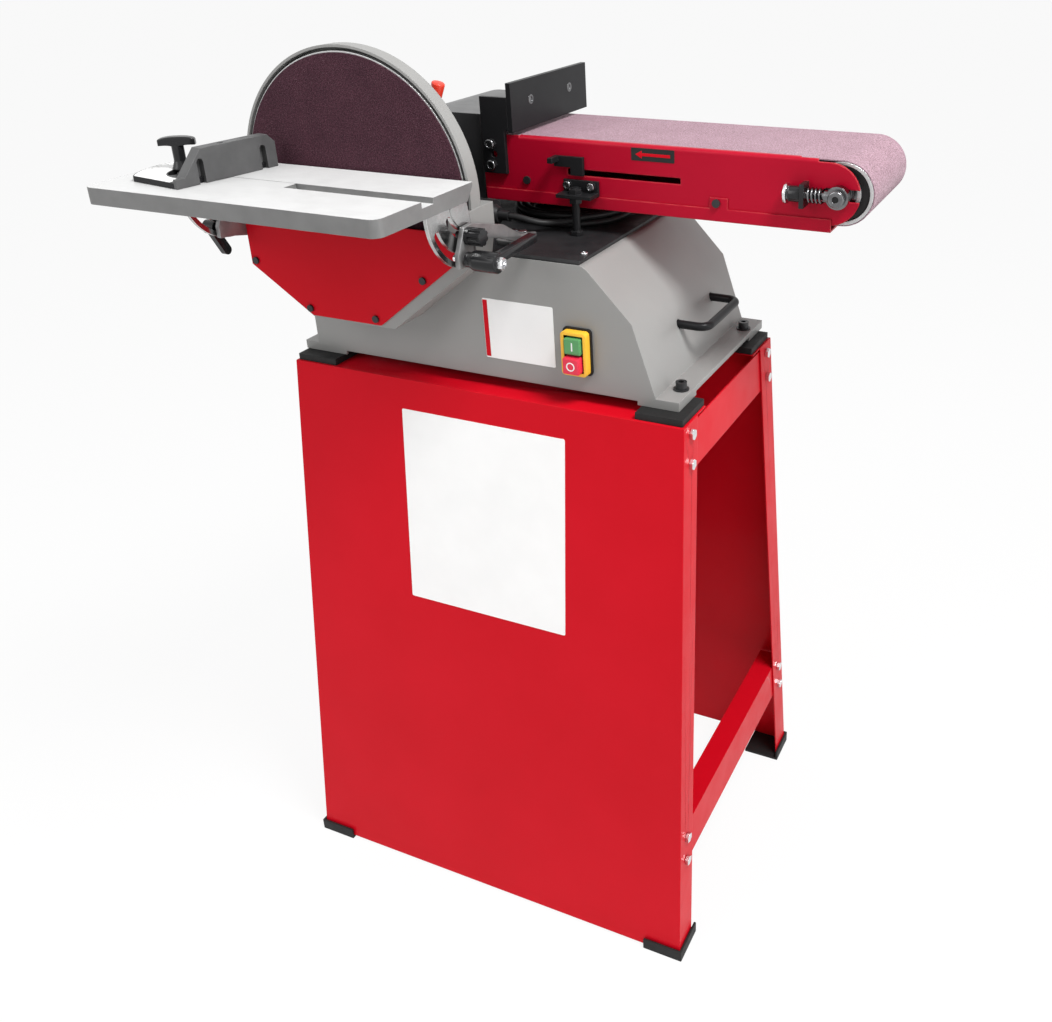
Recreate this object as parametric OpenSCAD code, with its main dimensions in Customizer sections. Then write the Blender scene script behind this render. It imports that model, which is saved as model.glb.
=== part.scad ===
// Belt disc sander on a sheet metal stand, all sizes in millimetres.
// X runs to the right along the belt arm, Y to the back, Z up from the floor.

/* [Stand] */
// Width of the stand at its top
stand_w = 526; // [500:2:560]
// Depth of the stand at its top
stand_d = 292; // [286:2:320]
// Height of the stand
stand_h = 728; // [640:4:780]
// Spread of the legs to each side
splay_x = 22; // [10:1:30]
// Spread of the legs to the front and to the back
splay_y = 75; // [50:1:90]
// Thickness of the stand sheet
sheet = 2; // [1.5:0.5:3]

/* [Base] */
// Height of the base over its pads
base_h = 153; // [146:1:170]
// Thickness of the base sheet
base_wall = 2.5; // [2:0.5:3]

/* [Disc and table] */
// Diameter of the disc
disc_d = 285; // [260:1:285]
// Length of the table
table_l = 371; // [360:1:390]
// Depth of the table
table_d = 161; // [150:1:170]
// Height of the table edge
table_t = 18; // [17:1:22]
// Width of the slot for the miter bar
slot_w = 19.4; // [18:0.2:22]

/* [Belt] */
// Width of the abrasive belt
belt_w = 150; // [120:1:150]
// Length of the abrasive belt
belt_len = 1220; // [1180:5:1240]
// Diameter of both drums
drum_d = 66; // [62:1:66]

/* [Cord] */
// Diameter of the mains cord
cord_d = 7.5; // [6:0.5:8]
// Turns of the coil in each of its two layers
coil_turns = 2.3125; // [2.3125, 1.8125]

/* [Hidden] */
$fn = 48;

red = [0.74, 0.05, 0.09];
grey = [0.55, 0.55, 0.54];
black = [0.06, 0.06, 0.065];
steel = [0.72, 0.72, 0.74];
alloy = [0.8, 0.8, 0.79];
maroon = [0.26, 0.14, 0.18];

// Stand
tilt = atan(splay_y / stand_h);
lean = atan(splay_x / stand_h);
leg_flange = 40;
top_return = 66;
foot_floor = 4;
foot_h = 16;
foot_wall = 3;
rail_upper_z = stand_h - 31;
rail_lower_z = 160;
rail_h = 56;
function half_w(z) = stand_w / 2 + splay_x * (stand_h - z) / stand_h;
function front_y(z) = -splay_y * (stand_h - z) / stand_h;
rail_bolts = [for (zc = [rail_upper_z, rail_lower_z]) for (dz = [-18, 17])
  [front_y(zc + dz) + 20, zc + dz]];

// Base
pad_h = 8;
base_z = stand_h + pad_h;
base_x0 = -262;
base_x1 = 248;
base_y0 = 22;
base_y1 = stand_d + 8;
flange_h = 11;
base_top = base_z + base_h;
handle_y = [127, 230];
plate_t = 4;
plate_top = base_top + plate_t;
front_bolt_y = 57;
rear_bolt_y = stand_d - 30;
base_bolt_at = [for (y = [front_bolt_y, rear_bolt_y]) for (x = [base_x0 + 11, base_x1 - 12]) [x, y]];

// Spindle, motor and drums
spin_x = -118;
spin_z = plate_top + 69;
motor_z = spin_z - 150;
pulley_r = 34;
drive_y0 = 56;
drive_y1 = 88;
drum_r = drum_d / 2;
belt_t = 1.2;
belt_gap = 0.3;
belt_y0 = 137;
belt_y1 = belt_y0 + belt_w;
belt_r = drum_r + belt_gap;
centres = (belt_len - 2 * PI * (belt_r + belt_t / 2)) / 2;
idler_x = spin_x + centres;

// Disc and its housing
disc_r = disc_d / 2;
disc_face = -21;
ring_in = disc_r + 3.5;
ring_out = ring_in + 3;
ring_y0 = -20;
ring_y1 = -2;
box_y0 = -27.7;
box_y1 = base_y0 - 0.3;
box_top = spin_z - 12;

// Table, its tilt axis and the arc slots
table_top = spin_z + 20;
table_low = table_top - table_t;
table_x1 = 38;
table_x0 = table_x1 - table_l;
table_y1 = -25;
table_y0 = table_y1 - table_d;
pivot_y = -38;
pivot_z = table_top - 16;
arc_in = 36;
arc_out = 60;
quad_r = 70;
lock_a = 250;
slot_a0 = lock_a - 46.5;
slot_a1 = lock_a + 1.5;
lock_in = [pivot_y + arc_in * cos(lock_a), pivot_z + arc_in * sin(lock_a)];
lock_out = [pivot_y + arc_out * cos(lock_a), pivot_z + arc_out * sin(lock_a)];
quad_right = 32.5;
quad_left = -288;
quad_t = 4;

// Miter gauge
slot_y = -105;
slot_deep = 6.2;
bar_top = table_top - 0.2;
miter_x = -245;
miter_arc = 31;
miter_knob_x = miter_x - miter_arc;
miter_set = 9;
miter_low = table_top + 0.3;
miter_plate_t = 5.7;

// Arm
arm_y0 = 129;
arm_sheet = 2.5;
arm_y1 = belt_y1 + 4;
arm_x0 = -45.5;
arm_nose_x = idler_x - 12;
arm_nose_r = 33;
arm_r = 36.5;
hood_r = 58;
hood_x1 = -46;
cover_x0 = -44;

// The bounding box fixes the origin, at the middle of the footprint
mid_x = (table_x0 + idler_x + belt_r + belt_t) / 2;
mid_y = (table_y0 + stand_d - front_y(foot_floor) + foot_wall + 0.4) / 2;

// Cord
cord_r = cord_d / 2;
coil_c = [30, 204];
coil_r = 72;
coil_pitch = cord_d + 1.6;
coil_lift = cord_d + 0.9;
coil_z = plate_top + cord_r + 0.1;

module along_x(x0, x1, r, y, z) {
  translate([x0, y, z]) rotate([0, 90, 0]) cylinder(h = x1 - x0, r = r);
}

module along_y(y0, y1, r, x, z) {
  translate([x, y0, z]) rotate([-90, 0, 0]) cylinder(h = y1 - y0, r = r);
}

module slab_x(x0, x1) {
  translate([x0, 0, 0]) rotate([90, 0, 90]) linear_extrude(x1 - x0) children();
}

module slab_y(y0, y1) {
  translate([0, y1, 0]) rotate([90, 0, 0]) linear_extrude(y1 - y0) children();
}

module box(a, b) {
  translate(a) cube(b - a);
}

module four_corners() {
  for (i = [0, 1]) for (j = [0, 1])
    translate([0, j * stand_d, 0]) mirror([0, j, 0]) mirror([i, 0, 0]) children();
}

// Stand
module panel_outline(inset) {
  top = stand_h / cos(tilt) + 8;
  low = stand_w / 2 + splay_x - inset;
  high = low - splay_x * top * cos(tilt) / stand_h;
  polygon([[-low, 0], [low, 0], [high, top], [-high, top]]);
}

module stand_panel(bolt_y) {
  difference() {
    union() {
      difference() {
        translate([0, -splay_y, 0]) rotate([90 - tilt, 0, 0]) difference() {
          translate([0, 0, -leg_flange]) linear_extrude(leg_flange) panel_outline(0);
          translate([0, 0, -leg_flange - 1]) linear_extrude(leg_flange + 1 - sheet)
            panel_outline(sheet);
        }
        box([-400, -200, stand_h], [400, 200, stand_h + 40]);
        box([-400, -200, -40], [400, 200, foot_floor]);
      }
      box([-stand_w / 2 + 1, 1, stand_h - sheet], [stand_w / 2 - 1, top_return, stand_h]);
    }
    for (b = rail_bolts) along_x(-400, 400, 3.8, b[0], b[1]);
    for (b = base_bolt_at) translate([b[0], bolt_y, stand_h - 10]) cylinder(h = 20, r = 4.4);
  }
}

module front_panel() {
  color(red) stand_panel(front_bolt_y);
}

module rear_panel() {
  color(red) translate([0, stand_d, 0]) mirror([0, 1, 0]) stand_panel(stand_d - rear_bolt_y);
}

module rail(zc, lip_z) {
  y0 = front_y(zc) + 7;
  difference() {
    translate([half_w(zc) - sheet - 0.25, y0, zc]) rotate([0, -lean, 0]) {
      translate([-sheet, 0, -rail_h / 2]) cube([sheet, stand_d - 2 * y0, rail_h]);
      translate([-30, 0, lip_z]) cube([30, stand_d - 2 * y0, sheet]);
    }
    for (b = rail_bolts) for (y = [b[0], stand_d - b[0]]) along_x(200, 400, 3.8, y, b[1]);
  }
}

module stand_rails() {
  color(red) for (i = [0, 1]) mirror([i, 0, 0]) {
    rail(rail_upper_z - 3, -rail_h / 2);
    rail(rail_lower_z, rail_h / 2 - sheet);
  }
}

module stand_bolts() {
  color(steel) four_corners() for (b = rail_bolts) {
    x = half_w(b[1]);
    translate([x + 0.3, b[0], b[1]]) rotate([0, 90, 0]) cylinder(h = 4.2, r = 6.5, $fn = 6);
    along_x(x - 11, x + 0.4, 3.5, b[0], b[1]);
    translate([x - 10.2, b[0], b[1]]) rotate([0, 90, 0]) cylinder(h = 5, r = 6.5, $fn = 6);
  }
}

module foot_caps() {
  x = half_w(foot_floor) + 0.4;
  y = front_y(foot_floor) - 0.4;
  color(black) four_corners() difference() {
    box([x + foot_wall - 54, y - foot_wall, 0], [x + foot_wall, y - foot_wall + 52, foot_h]);
    box([x + foot_wall - 60, y, foot_floor], [x, y + 60, foot_h + 1]);
  }
}

module machine_pads() {
  color(black) difference() {
    four_corners() box([stand_w / 2 - 60, 3, stand_h], [stand_w / 2 - 3, 66, base_z]);
    for (b = base_bolt_at) translate([b[0], b[1], stand_h - 1]) cylinder(h = pad_h + 2, r = 4.6);
  }
}

// Base
module base_profile(w) {
  polygon([[-242 + w, base_z + flange_h - 3], [-242 + w, base_top - w],
    [134 - 0.4 * w, base_top - w], [141 - 0.9 * w, base_top - 4 - 0.9 * w],
    [193 - 1.2 * w, base_top - 59 - 0.3 * w], [221 - 1.1 * w, base_z + flange_h - 3]]);
}

module base_housing() {
  low = base_z + flange_h - base_wall;
  color(grey) difference() {
    union() {
      box([base_x0, base_y0, base_z], [base_x1, base_y1, base_z + flange_h]);
      slab_y(base_y0, base_y1) base_profile(0);
    }
    slab_y(base_y0 + base_wall, base_y1 - base_wall) base_profile(base_wall);
    box([base_x0 + 3, base_y0 + 3, base_z - 1], [base_x1 - 3, base_y1 - 3, low]);
    box([base_x0 + 62, base_y0 - 1, base_z - 1], [base_x1 - 50, base_y1 + 1, base_z + 5]);
    box([base_x0 - 1, 72, base_z - 1], [base_x1 + 1, base_y1 - 50, base_z + 5]);
    box([spin_x - 42, 52, base_top - 10], [spin_x + 42, 92, base_top + 1]);
    for (b = base_bolt_at) translate([b[0], b[1], base_z]) cylinder(h = 20, r = 4.4);
    for (y = handle_y) along_x(180, 230, 5.4, y, base_top - 93);
    for (i = [0:6]) box([spin_x - 45 + 15 * i, base_y1 - 5, motor_z - 30],
      [spin_x - 39 + 15 * i, base_y1 + 1, motor_z + 30]);
  }
}

module base_bolts() {
  z = base_z + flange_h;
  color(black) for (b = base_bolt_at) translate([b[0], b[1], 0]) {
    translate([0, 0, stand_h - 12]) cylinder(h = z - stand_h + 13, r = 4);
    translate([0, 0, z]) cylinder(h = 1.6, r = 9);
    difference() {
      translate([0, 0, z + 1]) cylinder(h = 8.6, r = 6.5);
      translate([0, 0, z + 5]) cylinder(h = 6, r = 3.4, $fn = 6);
    }
    translate([0, 0, stand_h - sheet - 7]) cylinder(h = 6.5, r = 7.4, $fn = 6);
  }
}

module top_plate() {
  color(black) difference() {
    union() {
      box([-236, base_y0 + 4, base_top], [132, base_y1 - 4, plate_top]);
      slab_x(-236, 132) polygon([[base_y0 + 4, base_top], [base_y0 + 1, base_top],
        [base_y0 + 1, base_top + 1.5], [base_y0 + 4, plate_top]]);
    }
    box([spin_x - 42, 52, base_top - 1], [spin_x + 42, 92, plate_top + 1]);
  }
}

module carry_handle() {
  z = base_top - 93;
  x = 227;
  r = 12;
  color(black) {
    for (y = handle_y) along_x(194, x, 5, y, z);
    along_y(handle_y[0] + r, handle_y[1] - r, 5, x + r, z);
    translate([x, handle_y[0] + r, z]) rotate([0, 0, -90]) rotate_extrude(angle = 90)
      translate([r, 0]) circle(5);
    translate([x, handle_y[1] - r, z]) rotate_extrude(angle = 90) translate([r, 0]) circle(5);
  }
}

switch_x0 = 112;
switch_x1 = 143;
switch_z0 = base_z + 29;
switch_z1 = switch_z0 + 51;
start_z = switch_z0 + 26;
stop_z = switch_z0 + 4.5;

module switch_box() {
  front = 9;
  color([0.95, 0.68, 0.12]) difference() {
    union() {
      box([switch_x0, front, switch_z0], [switch_x1, base_y0, switch_z1]);
      box([switch_x0 - 3, base_y0 - 3, switch_z0 - 3], [switch_x1 + 3, base_y0, switch_z1 + 3]);
    }
    for (z = [start_z, stop_z])
      box([switch_x0 + 5.2, front - 1, z - 0.3], [switch_x1 - 5.2, base_y0 - 2, z + 19.3]);
  }
}

module start_button() {
  color([0.12, 0.5, 0.25]) box([switch_x0 + 5.5, 6, start_z], [switch_x1 - 5.5, 15, start_z + 19]);
}

module stop_button() {
  color([0.85, 0.1, 0.2]) box([switch_x0 + 5.5, 1, stop_z], [switch_x1 - 5.5, 15, stop_z + 19]);
}

// Spindle and drive
module spindle_housing() {
  color(black) difference() {
    union() {
      along_y(24, 122, 50, spin_x, spin_z);
      along_y(121, 131, 30, spin_x, spin_z);
      box([spin_x - 46, 28, plate_top], [spin_x + 46, 118, spin_z]);
      slab_y(28, 36) polygon([[spin_x + 40, plate_top], [spin_x + 40, spin_z - 8],
        [spin_x + 58, spin_z - 8], [spin_x + 124, plate_top + 12], [spin_x + 124, plate_top]]);
      translate([-84, 85, spin_z]) cylinder(h = 44, r = 8);
    }
    along_y(23, 132, 17, spin_x, spin_z);
    along_y(29, 47, 31.05, spin_x, spin_z);
    along_y(97, 115, 31.05, spin_x, spin_z);
    along_y(52, 92, 42, spin_x, spin_z);
    box([spin_x - 42, 52, plate_top - 1], [spin_x + 42, 92, spin_z]);
    translate([-84, 85, spin_z + 20]) cylinder(h = 30, r = 4.3);
  }
}

module bearing(y, x, r_out, r_in, w) {
  difference() {
    along_y(y, y + w, r_out, x, spin_z);
    along_y(y - 1, y + w + 1, r_in, x, spin_z);
  }
}

module spindle_bearings() {
  color(steel) for (y = [29.5, 97.5]) bearing(y, spin_x, 31, 12.55, 17);
}

module spindle_shaft() {
  color(steel) {
    along_y(-12, belt_y1 + 12, 12.5, spin_x, spin_z);
    along_y(7, 21, 16, spin_x, spin_z);
  }
}

module pulley(z, bore) {
  r = pulley_r;
  translate([spin_x, drive_y0, z]) rotate([-90, 0, 0]) rotate_extrude() polygon(concat(
    [[bore, 0], [r, 0]], [for (i = [0:6]) for (p = [[r - 3, 4], [r, 6]]) [p[0], p[1] + 4 * i - 2]],
    [[r, drive_y1 - drive_y0], [bore, drive_y1 - drive_y0]]));
}

module spindle_pulley() {
  color(alloy) pulley(spin_z, 12.55);
}

module motor_pulley() {
  color(alloy) pulley(motor_z, 9.55);
}

module loop_solid(y0, y1, r, x0, z0, x1, z1) {
  along_y(y0, y1, r, x0, z0);
  along_y(y0, y1, r, x1, z1);
  box([x0 - (x1 == x0 ? r : 0), y0, min(z0, z1) - (x1 == x0 ? 0 : r)],
    [x1 + (x1 == x0 ? r : 0), y1, max(z0, z1) + (x1 == x0 ? 0 : r)]);
}

module drive_belt() {
  color(black) difference() {
    loop_solid(58, 86, pulley_r + 3.3, spin_x, spin_z, spin_x, motor_z);
    loop_solid(57, 87, pulley_r + 0.3, spin_x, spin_z, spin_x, motor_z);
  }
}

module motor_shaft() {
  color(steel) along_y(54, 255, 9.5, spin_x, motor_z);
}

module motor() {
  color([0.3, 0.32, 0.34]) difference() {
    union() {
      along_y(116, 248, 58, spin_x, motor_z);
      along_y(102, 117, 50, spin_x, motor_z);
      along_y(247, 264, 52, spin_x, motor_z);
      box([spin_x + 40, 150, motor_z - 26], [spin_x + 78, 214, motor_z + 26]);
    }
    along_y(101, 258, 10.2, spin_x, motor_z);
  }
}

module motor_cradle() {
  top = base_top - base_wall;
  color(steel) {
    box([spin_x - 62.5, 124, top - 4], [spin_x + 62.5, 240, top]);
    box([spin_x - 62.5, 124, motor_z - 12], [spin_x - 58.5, 240, top]);
    box([spin_x + 58.5, 220, motor_z - 12], [spin_x + 62.5, 240, top]);
    box([spin_x + 58.5, 124, motor_z - 12], [spin_x + 62.5, 144, top]);
  }
}

// Disc
module disc_plate() {
  color(alloy) difference() {
    union() {
      along_y(disc_face + 1.5, -8, disc_r, spin_x, spin_z);
      along_y(-9, 6, 26, spin_x, spin_z);
    }
    along_y(-12.5, 8, 12.55, spin_x, spin_z);
  }
}

module abrasive_disc() {
  color(maroon) along_y(disc_face, disc_face + 1.5, disc_r - 1.5, spin_x, spin_z);
}

function box_outline(w) = [[-276 + w, box_top], [-276 + w, spin_z - 104 + 0.5 * w],
  [-196 + 0.3 * w, spin_z - 158 + w], [-81.5 - 0.4 * w, spin_z - 158 + w],
  [24 - w, spin_z - 75.6 + 0.5 * w], [31 - w, spin_z - 40], [31 - w, box_top]];
cover_outline = [[-276, spin_z - 37], [-276, spin_z - 102], [-196, spin_z - 155.5],
  [-99, spin_z - 155.5], [11, spin_z - 70], [17, spin_z - 50], [17, spin_z - 37]];
cover_screw_at = [[-269, spin_z - 97], [-198, spin_z - 147], [-105, spin_z - 148],
  [-34, spin_z - 94]];

module above(z) {
  intersection() {
    children();
    box([-400, -100, z], [200, 100, z + 400]);
  }
}

function open_top(pts, z) = concat([[pts[0][0], z]], [for (i = [1:5]) pts[i]], [[pts[6][0], z]]);

module disc_housing() {
  color(grey) difference() {
    union() {
      above(box_top - 1) along_y(ring_y0, ring_y1, ring_out, spin_x, spin_z);
      slab_y(box_y0, box_y1) polygon(box_outline(0));
    }
    above(box_top - 4) along_y(box_y0 - 1, ring_y1 - 3, ring_in, spin_x, spin_z);
    slab_y(box_y0 + 2.5, box_y1 - 3) polygon(open_top(box_outline(3), box_top - 3));
    slab_y(box_y0 - 1, box_y0 + 3) polygon(open_top(box_outline(26), box_top + 5));
    for (p = cover_screw_at) along_y(box_y0 - 1, box_y0 + 6, 2.3, p[0], p[1]);
    along_y(ring_y1 - 4, box_y1 + 1, 40, spin_x, spin_z);
  }
}

module front_cover() {
  color(red) difference() {
    slab_y(box_y0 - 2, box_y0) polygon(cover_outline);
    for (p = cover_screw_at) along_y(box_y0 - 3, box_y0 + 1, 2.3, p[0], p[1]);
  }
}

module cover_screws() {
  color(black) for (p = cover_screw_at) {
    along_y(box_y0 - 4.4, box_y0 - 2, 4.2, p[0], p[1]);
    along_y(box_y0 - 2.5, box_y0 + 3.5, 2, p[0], p[1]);
  }
}

// Table
module disc_table() {
  r = 11;
  slot0 = slot_y - slot_w / 2;
  color(alloy) difference() {
    union() {
      box([table_x0 + r, table_y0, table_low], [table_x1 - r, table_y1, table_top]);
      box([table_x0, table_y0 + r, table_low], [table_x1, table_y1, table_top]);
      for (x = [table_x0 + r, table_x1 - r]) translate([x, table_y0 + r, table_low])
        cylinder(h = table_t, r = r);
    }
    box([table_x0 - 1, slot0, table_top - slot_deep], [table_x1 + 1, slot0 + slot_w, table_top + 1]);
    slab_x(table_x0 - 1, table_x1 + 1) polygon([[table_y1 + 1, table_top - 3],
      [table_y1 + 1, table_low - 1], [table_y1 - 12, table_low - 1]]);
    for (p = [[table_x0 + 8, -290], [-282, -200], [-192, -110], [-102, -20], [-12, table_x1 - 8]])
      for (q = [[table_y0 + 8, slot_y - 16], [slot_y + 16, table_y1 - 19]])
        box([p[0], q[0], table_low - 1], [p[1], q[1], table_top - 10]);
  }
}

module arc_slot(x, r) {
  intersection() {
    difference() {
      along_x(x, x + 20, r + 4.4, pivot_y, pivot_z);
      along_x(x - 1, x + 21, r - 4.4, pivot_y, pivot_z);
    }
    slab_x(x, x + 20) polygon(concat([[pivot_y, pivot_z]], [for (a = [slot_a0, lock_a - 20, slot_a1])
      [pivot_y + 100 * cos(a), pivot_z + 100 * sin(a)]]));
  }
  for (a = [slot_a0, slot_a1])
    along_x(x, x + 20, 4.4, pivot_y + r * cos(a), pivot_z + r * sin(a));
}

module quadrant(x, hub) {
  difference() {
    union() {
      along_x(x, x + quad_t, quad_r, pivot_y, pivot_z);
      along_x(hub, hub + 5, 29, pivot_y, pivot_z);
    }
    box([x - 5, pivot_y - 100, table_low], [x + 10, pivot_y + 100, table_top + 100]);
    translate([x - 5, pivot_y, pivot_z]) rotate([12, 0, 0]) translate([0, 0, -100])
      cube([15, 100, 200]);
    arc_slot(x - 8, arc_in);
    arc_slot(x - 8, arc_out);
  }
}

module quadrants() {
  color(alloy) {
    quadrant(quad_right, quad_right);
    quadrant(quad_left, quad_left - 1);
  }
}

module trunnion_brackets() {
  color(alloy) difference() {
    union() {
      slab_x(table_x1 + 0.5, table_x1 + 6) polygon([[88, plate_top], [88, plate_top + 7],
        [56, plate_top + 12], [20, plate_top + 33], [-40, lock_in[1] + 11], [-56, lock_in[1] + 10],
        [-70, lock_out[1] + 6], [-70, lock_out[1] - 8], [-48, lock_out[1] - 11],
        [20, plate_top + 6], [30, plate_top]]);
      box([14, 46, plate_top], [table_x1 + 6, 88, plate_top + 6]);
      slab_x(-281.5, -276.2) polygon([[14, spin_z - 72], [14, spin_z - 30], [-40, lock_in[1] + 8],
        [-56, lock_in[1] + 8], [-70, lock_out[1] + 6], [-70, lock_out[1] - 8],
        [-48, lock_out[1] - 11], [-10, spin_z - 72]]);
    }
    for (p = [lock_in, lock_out]) {
      along_x(table_x1, table_x1 + 7, 4.3, p[0], p[1]);
      along_x(-283, -275, 4.3, p[0], p[1]);
    }
    for (x = [20, 32]) translate([x, 77, plate_top - 1]) cylinder(h = 10, r = 3.3);
    for (z = [spin_z - 62, spin_z - 42]) along_x(-283, -275, 3.3, 4, z);
  }
}

module bracket_bolts() {
  color(steel) {
    for (x = [20, 32]) translate([x, 77, plate_top]) {
      translate([0, 0, 6]) cylinder(h = 4, r = 5.5, $fn = 6);
      translate([0, 0, 0.2]) cylinder(h = 6, r = 3);
    }
    for (z = [spin_z - 62, spin_z - 42]) {
      translate([-283.6, 4, z]) rotate([0, 90, 0]) cylinder(h = 2.1, r = 5.5, $fn = 6);
      along_x(-282, -276.3, 3, 4, z);
    }
    along_x(-292, -276.5, 4, lock_in[0], lock_in[1]);
    along_x(-296, -290.6, 6, lock_in[0], lock_in[1]);
  }
}

module table_lock_lever() {
  x = table_x1 + 6.3;
  color(black) translate([0, lock_out[0], lock_out[1]]) {
    along_x(31, x + 10, 4, 0, 0);
    along_x(x, x + 9, 7, 0, 0);
    along_x(x + 8, x + 40, 11, 0, 0);
    translate([x + 39, 0, 0]) rotate([0, 90, 0]) cylinder(h = 6.5, r = 7, $fn = 6);
    slab_x(x + 31, x + 41) polygon([[-9, -7], [-10, 7], [-2, 11.2], [74, 11.2], [78, 9], [78, 5],
      [74, 2.6], [12, 1], [6, -9]]);
  }
}

module table_lock_knob() {
  x = table_x1 + 6.3;
  color(black) translate([0, lock_in[0], lock_in[1]]) {
    along_x(31, x + 2, 4, 0, 0);
    difference() {
      along_x(x, x + 18, 9.5, 0, 0);
      for (a = [0:45:315]) rotate([a, 0, 0]) along_x(x + 4, x + 20, 2, 0, 10);
    }
  }
}

module left_lock_lever() {
  color(black) translate([0, lock_out[0], lock_out[1]]) {
    along_x(-296, -277, 4, 0, 0);
    along_x(-306, -290.6, 8, 0, 0);
    rotate([28, 0, 0]) {
      box([-305, -5.5, -36], [-298, 5.5, 0]);
      along_x(-305, -298, 5.5, 0, -36);
    }
  }
}

// Miter gauge
module miter_bar() {
  color(steel) {
    box([table_x0 + 2, slot_y - 9.4, table_top - slot_deep + 0.4], [table_x0 + 202, slot_y + 9.4, bar_top]);
    translate([miter_x, slot_y, bar_top - 1]) cylinder(h = 6.2, r = 5);
  }
}

module on_miter(z) {
  translate([miter_x, slot_y, z]) rotate([0, 0, -miter_set]) children();
}

module miter_head() {
  t = miter_plate_t;
  color(black) on_miter(miter_low) difference() {
    union() {
      difference() {
        cylinder(h = t, r = 70);
        box([0, -80, -1], [80, 80, t + 1]);
        box([-80, -80, -1], [80, -53, t + 1]);
      }
      box([-1, -53, 0], [22.6, 74, t]);
    }
    translate([0, 0, -1]) cylinder(h = 10, r = 5.15);
    intersection() {
      difference() {
        translate([0, 0, -1]) cylinder(h = 10, r = miter_arc + 4.5);
        translate([0, 0, -2]) cylinder(h = 12, r = miter_arc - 4.5);
      }
      translate([0, 0, -1]) linear_extrude(10)
        polygon([[0, 0], [-50, 86.6], [-100, 60], [-100, -60], [-50, -86.6]]);
    }
    for (a = [120, 240]) translate([miter_arc * cos(a), miter_arc * sin(a), -1])
      cylinder(h = 10, r = 4.5);
  }
}

module miter_fence() {
  high = 30;
  color(black) on_miter(miter_low + miter_plate_t) difference() {
    union() {
      slab_x(15, 28) polygon([[-46, 0], [74, 0], [74, high - 9], [65, high], [-19, high]]);
      box([23, -53, -miter_plate_t], [28, 74, 4]);
    }
    for (y = [-22, 57]) {
      box([20, y - 4, -miter_plate_t - 1], [29, y + 4, 16]);
      along_x(20, 29, 4, y, 16);
    }
    translate([21.5, 10, high - 12]) cylinder(h = 14, r = 3.5);
  }
}

module miter_knob() {
  z = miter_low + miter_plate_t;
  color(black) translate([miter_knob_x, slot_y, 0]) {
    translate([0, 0, bar_top + 0.2]) cylinder(h = 30, r = 4);
    translate([0, 0, z + 0.3]) cylinder(h = 8, r1 = 10, r2 = 6.5);
    translate([0, 0, z + 8]) cylinder(h = 18, r = 6.5);
    translate([0, 0, z + 24]) rotate([0, 0, 33]) {
      box([-13, -5, 0], [13, 5, 10]);
      for (x = [-13, 13]) translate([x, 0, 0]) cylinder(h = 10, r = 5);
    }
  }
}

// Belt arm
module drive_drum() {
  color(alloy) difference() {
    along_y(belt_y0 - 1, belt_y1 + 1, drum_r, spin_x, spin_z);
    along_y(belt_y0 - 2, belt_y1 + 2, 12.55, spin_x, spin_z);
    for (y = [[belt_y0 - 2, belt_y0 + 11], [belt_y1 - 11, belt_y1 + 2]]) difference() {
      along_y(y[0], y[1], drum_r - 5, spin_x, spin_z);
      along_y(y[0] - 1, y[1] + 1, 18, spin_x, spin_z);
    }
  }
}

arm_top = spin_z + arm_r;
arm_fold_x = 4;

module arm_side(y0, y1, high) {
  box([arm_x0, y0, spin_z - arm_r], [arm_nose_x - 13, y1, spin_z + high]);
  box([arm_nose_x - 20, y0, spin_z - arm_nose_r], [arm_nose_x, y1, spin_z + arm_nose_r]);
  along_y(y0, y1, arm_nose_r, arm_nose_x, spin_z);
}

module arm_frame() {
  color(red) difference() {
    union() {
      arm_side(arm_y0, arm_y0 + arm_sheet, arm_r);
      arm_side(arm_y1, arm_y1 + arm_sheet, arm_nose_r);
      box([arm_fold_x, arm_y0 + 1, arm_top - 2.5], [arm_nose_x - 33, arm_y0 + 7, arm_top]);
      for (x = [-40, 306]) box([x, arm_y0 + 1, spin_z - 22], [x + 4, arm_y1 + 1, spin_z + 23]);
      box([-40, arm_y0 + 1, spin_z - 22], [308, arm_y1 + 1, spin_z - 19]);
      box([-80, arm_y0 + 2.6, spin_z - 26], [-38, arm_y0 + 5, spin_z + 23]);
      box([-45, arm_y0 + 1, spin_z - 26], [-38, arm_y0 + 5, spin_z + 23]);
      box([-80, arm_y1 - 2.4, spin_z - 26], [-38, arm_y1 - 0.1, spin_z + 23]);
      box([-45, arm_y1 - 2.4, spin_z - 26], [-38, arm_y1 + 1, spin_z + 23]);
      box([347, arm_y0 - 19, spin_z - 12], [351, arm_y0 + 1, spin_z + 12]);
    }
    slab_x(arm_fold_x, arm_nose_x) polygon(concat([[arm_y0 - 1, arm_top + 1], [arm_y0 - 1, arm_top - 4]],
      [for (a = [180:-22.5:90]) [arm_y0 + 4 + 4 * cos(a), arm_top - 4 + 4 * sin(a)]],
      [[arm_y0 + 4, arm_top + 1]]));
    box([66, arm_y0 - 1, spin_z - 3.5], [206, arm_y0 + 4, spin_z + 3.5]);
    for (y = [arm_y0 - 1, arm_y1 - 1]) {
      box([idler_x - 14, y, spin_z - 6.5], [idler_x + 40, y + 5, spin_z + 6.5]);
      along_y(y, y + 5, 6.5, idler_x - 14, spin_z);
    }
    along_x(340, 360, 4.4, arm_y0 - 9, spin_z);
    for (p = arm_screw_at) along_y(arm_y0 - 1, arm_y0 + 4, 2.4, p[0], p[1]);
    for (z = [spin_z + 26, spin_z + 2]) along_y(arm_y0 - 1, arm_y0 + 4, 3.4, -30, z);
    for (x = [68, 98]) along_y(arm_y0 - 1, arm_y0 + 4, 3.1, x, spin_z - 14);
  }
}

arm_screw_at = [[12, spin_z - 14], [249, spin_z - 20]];

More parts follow.
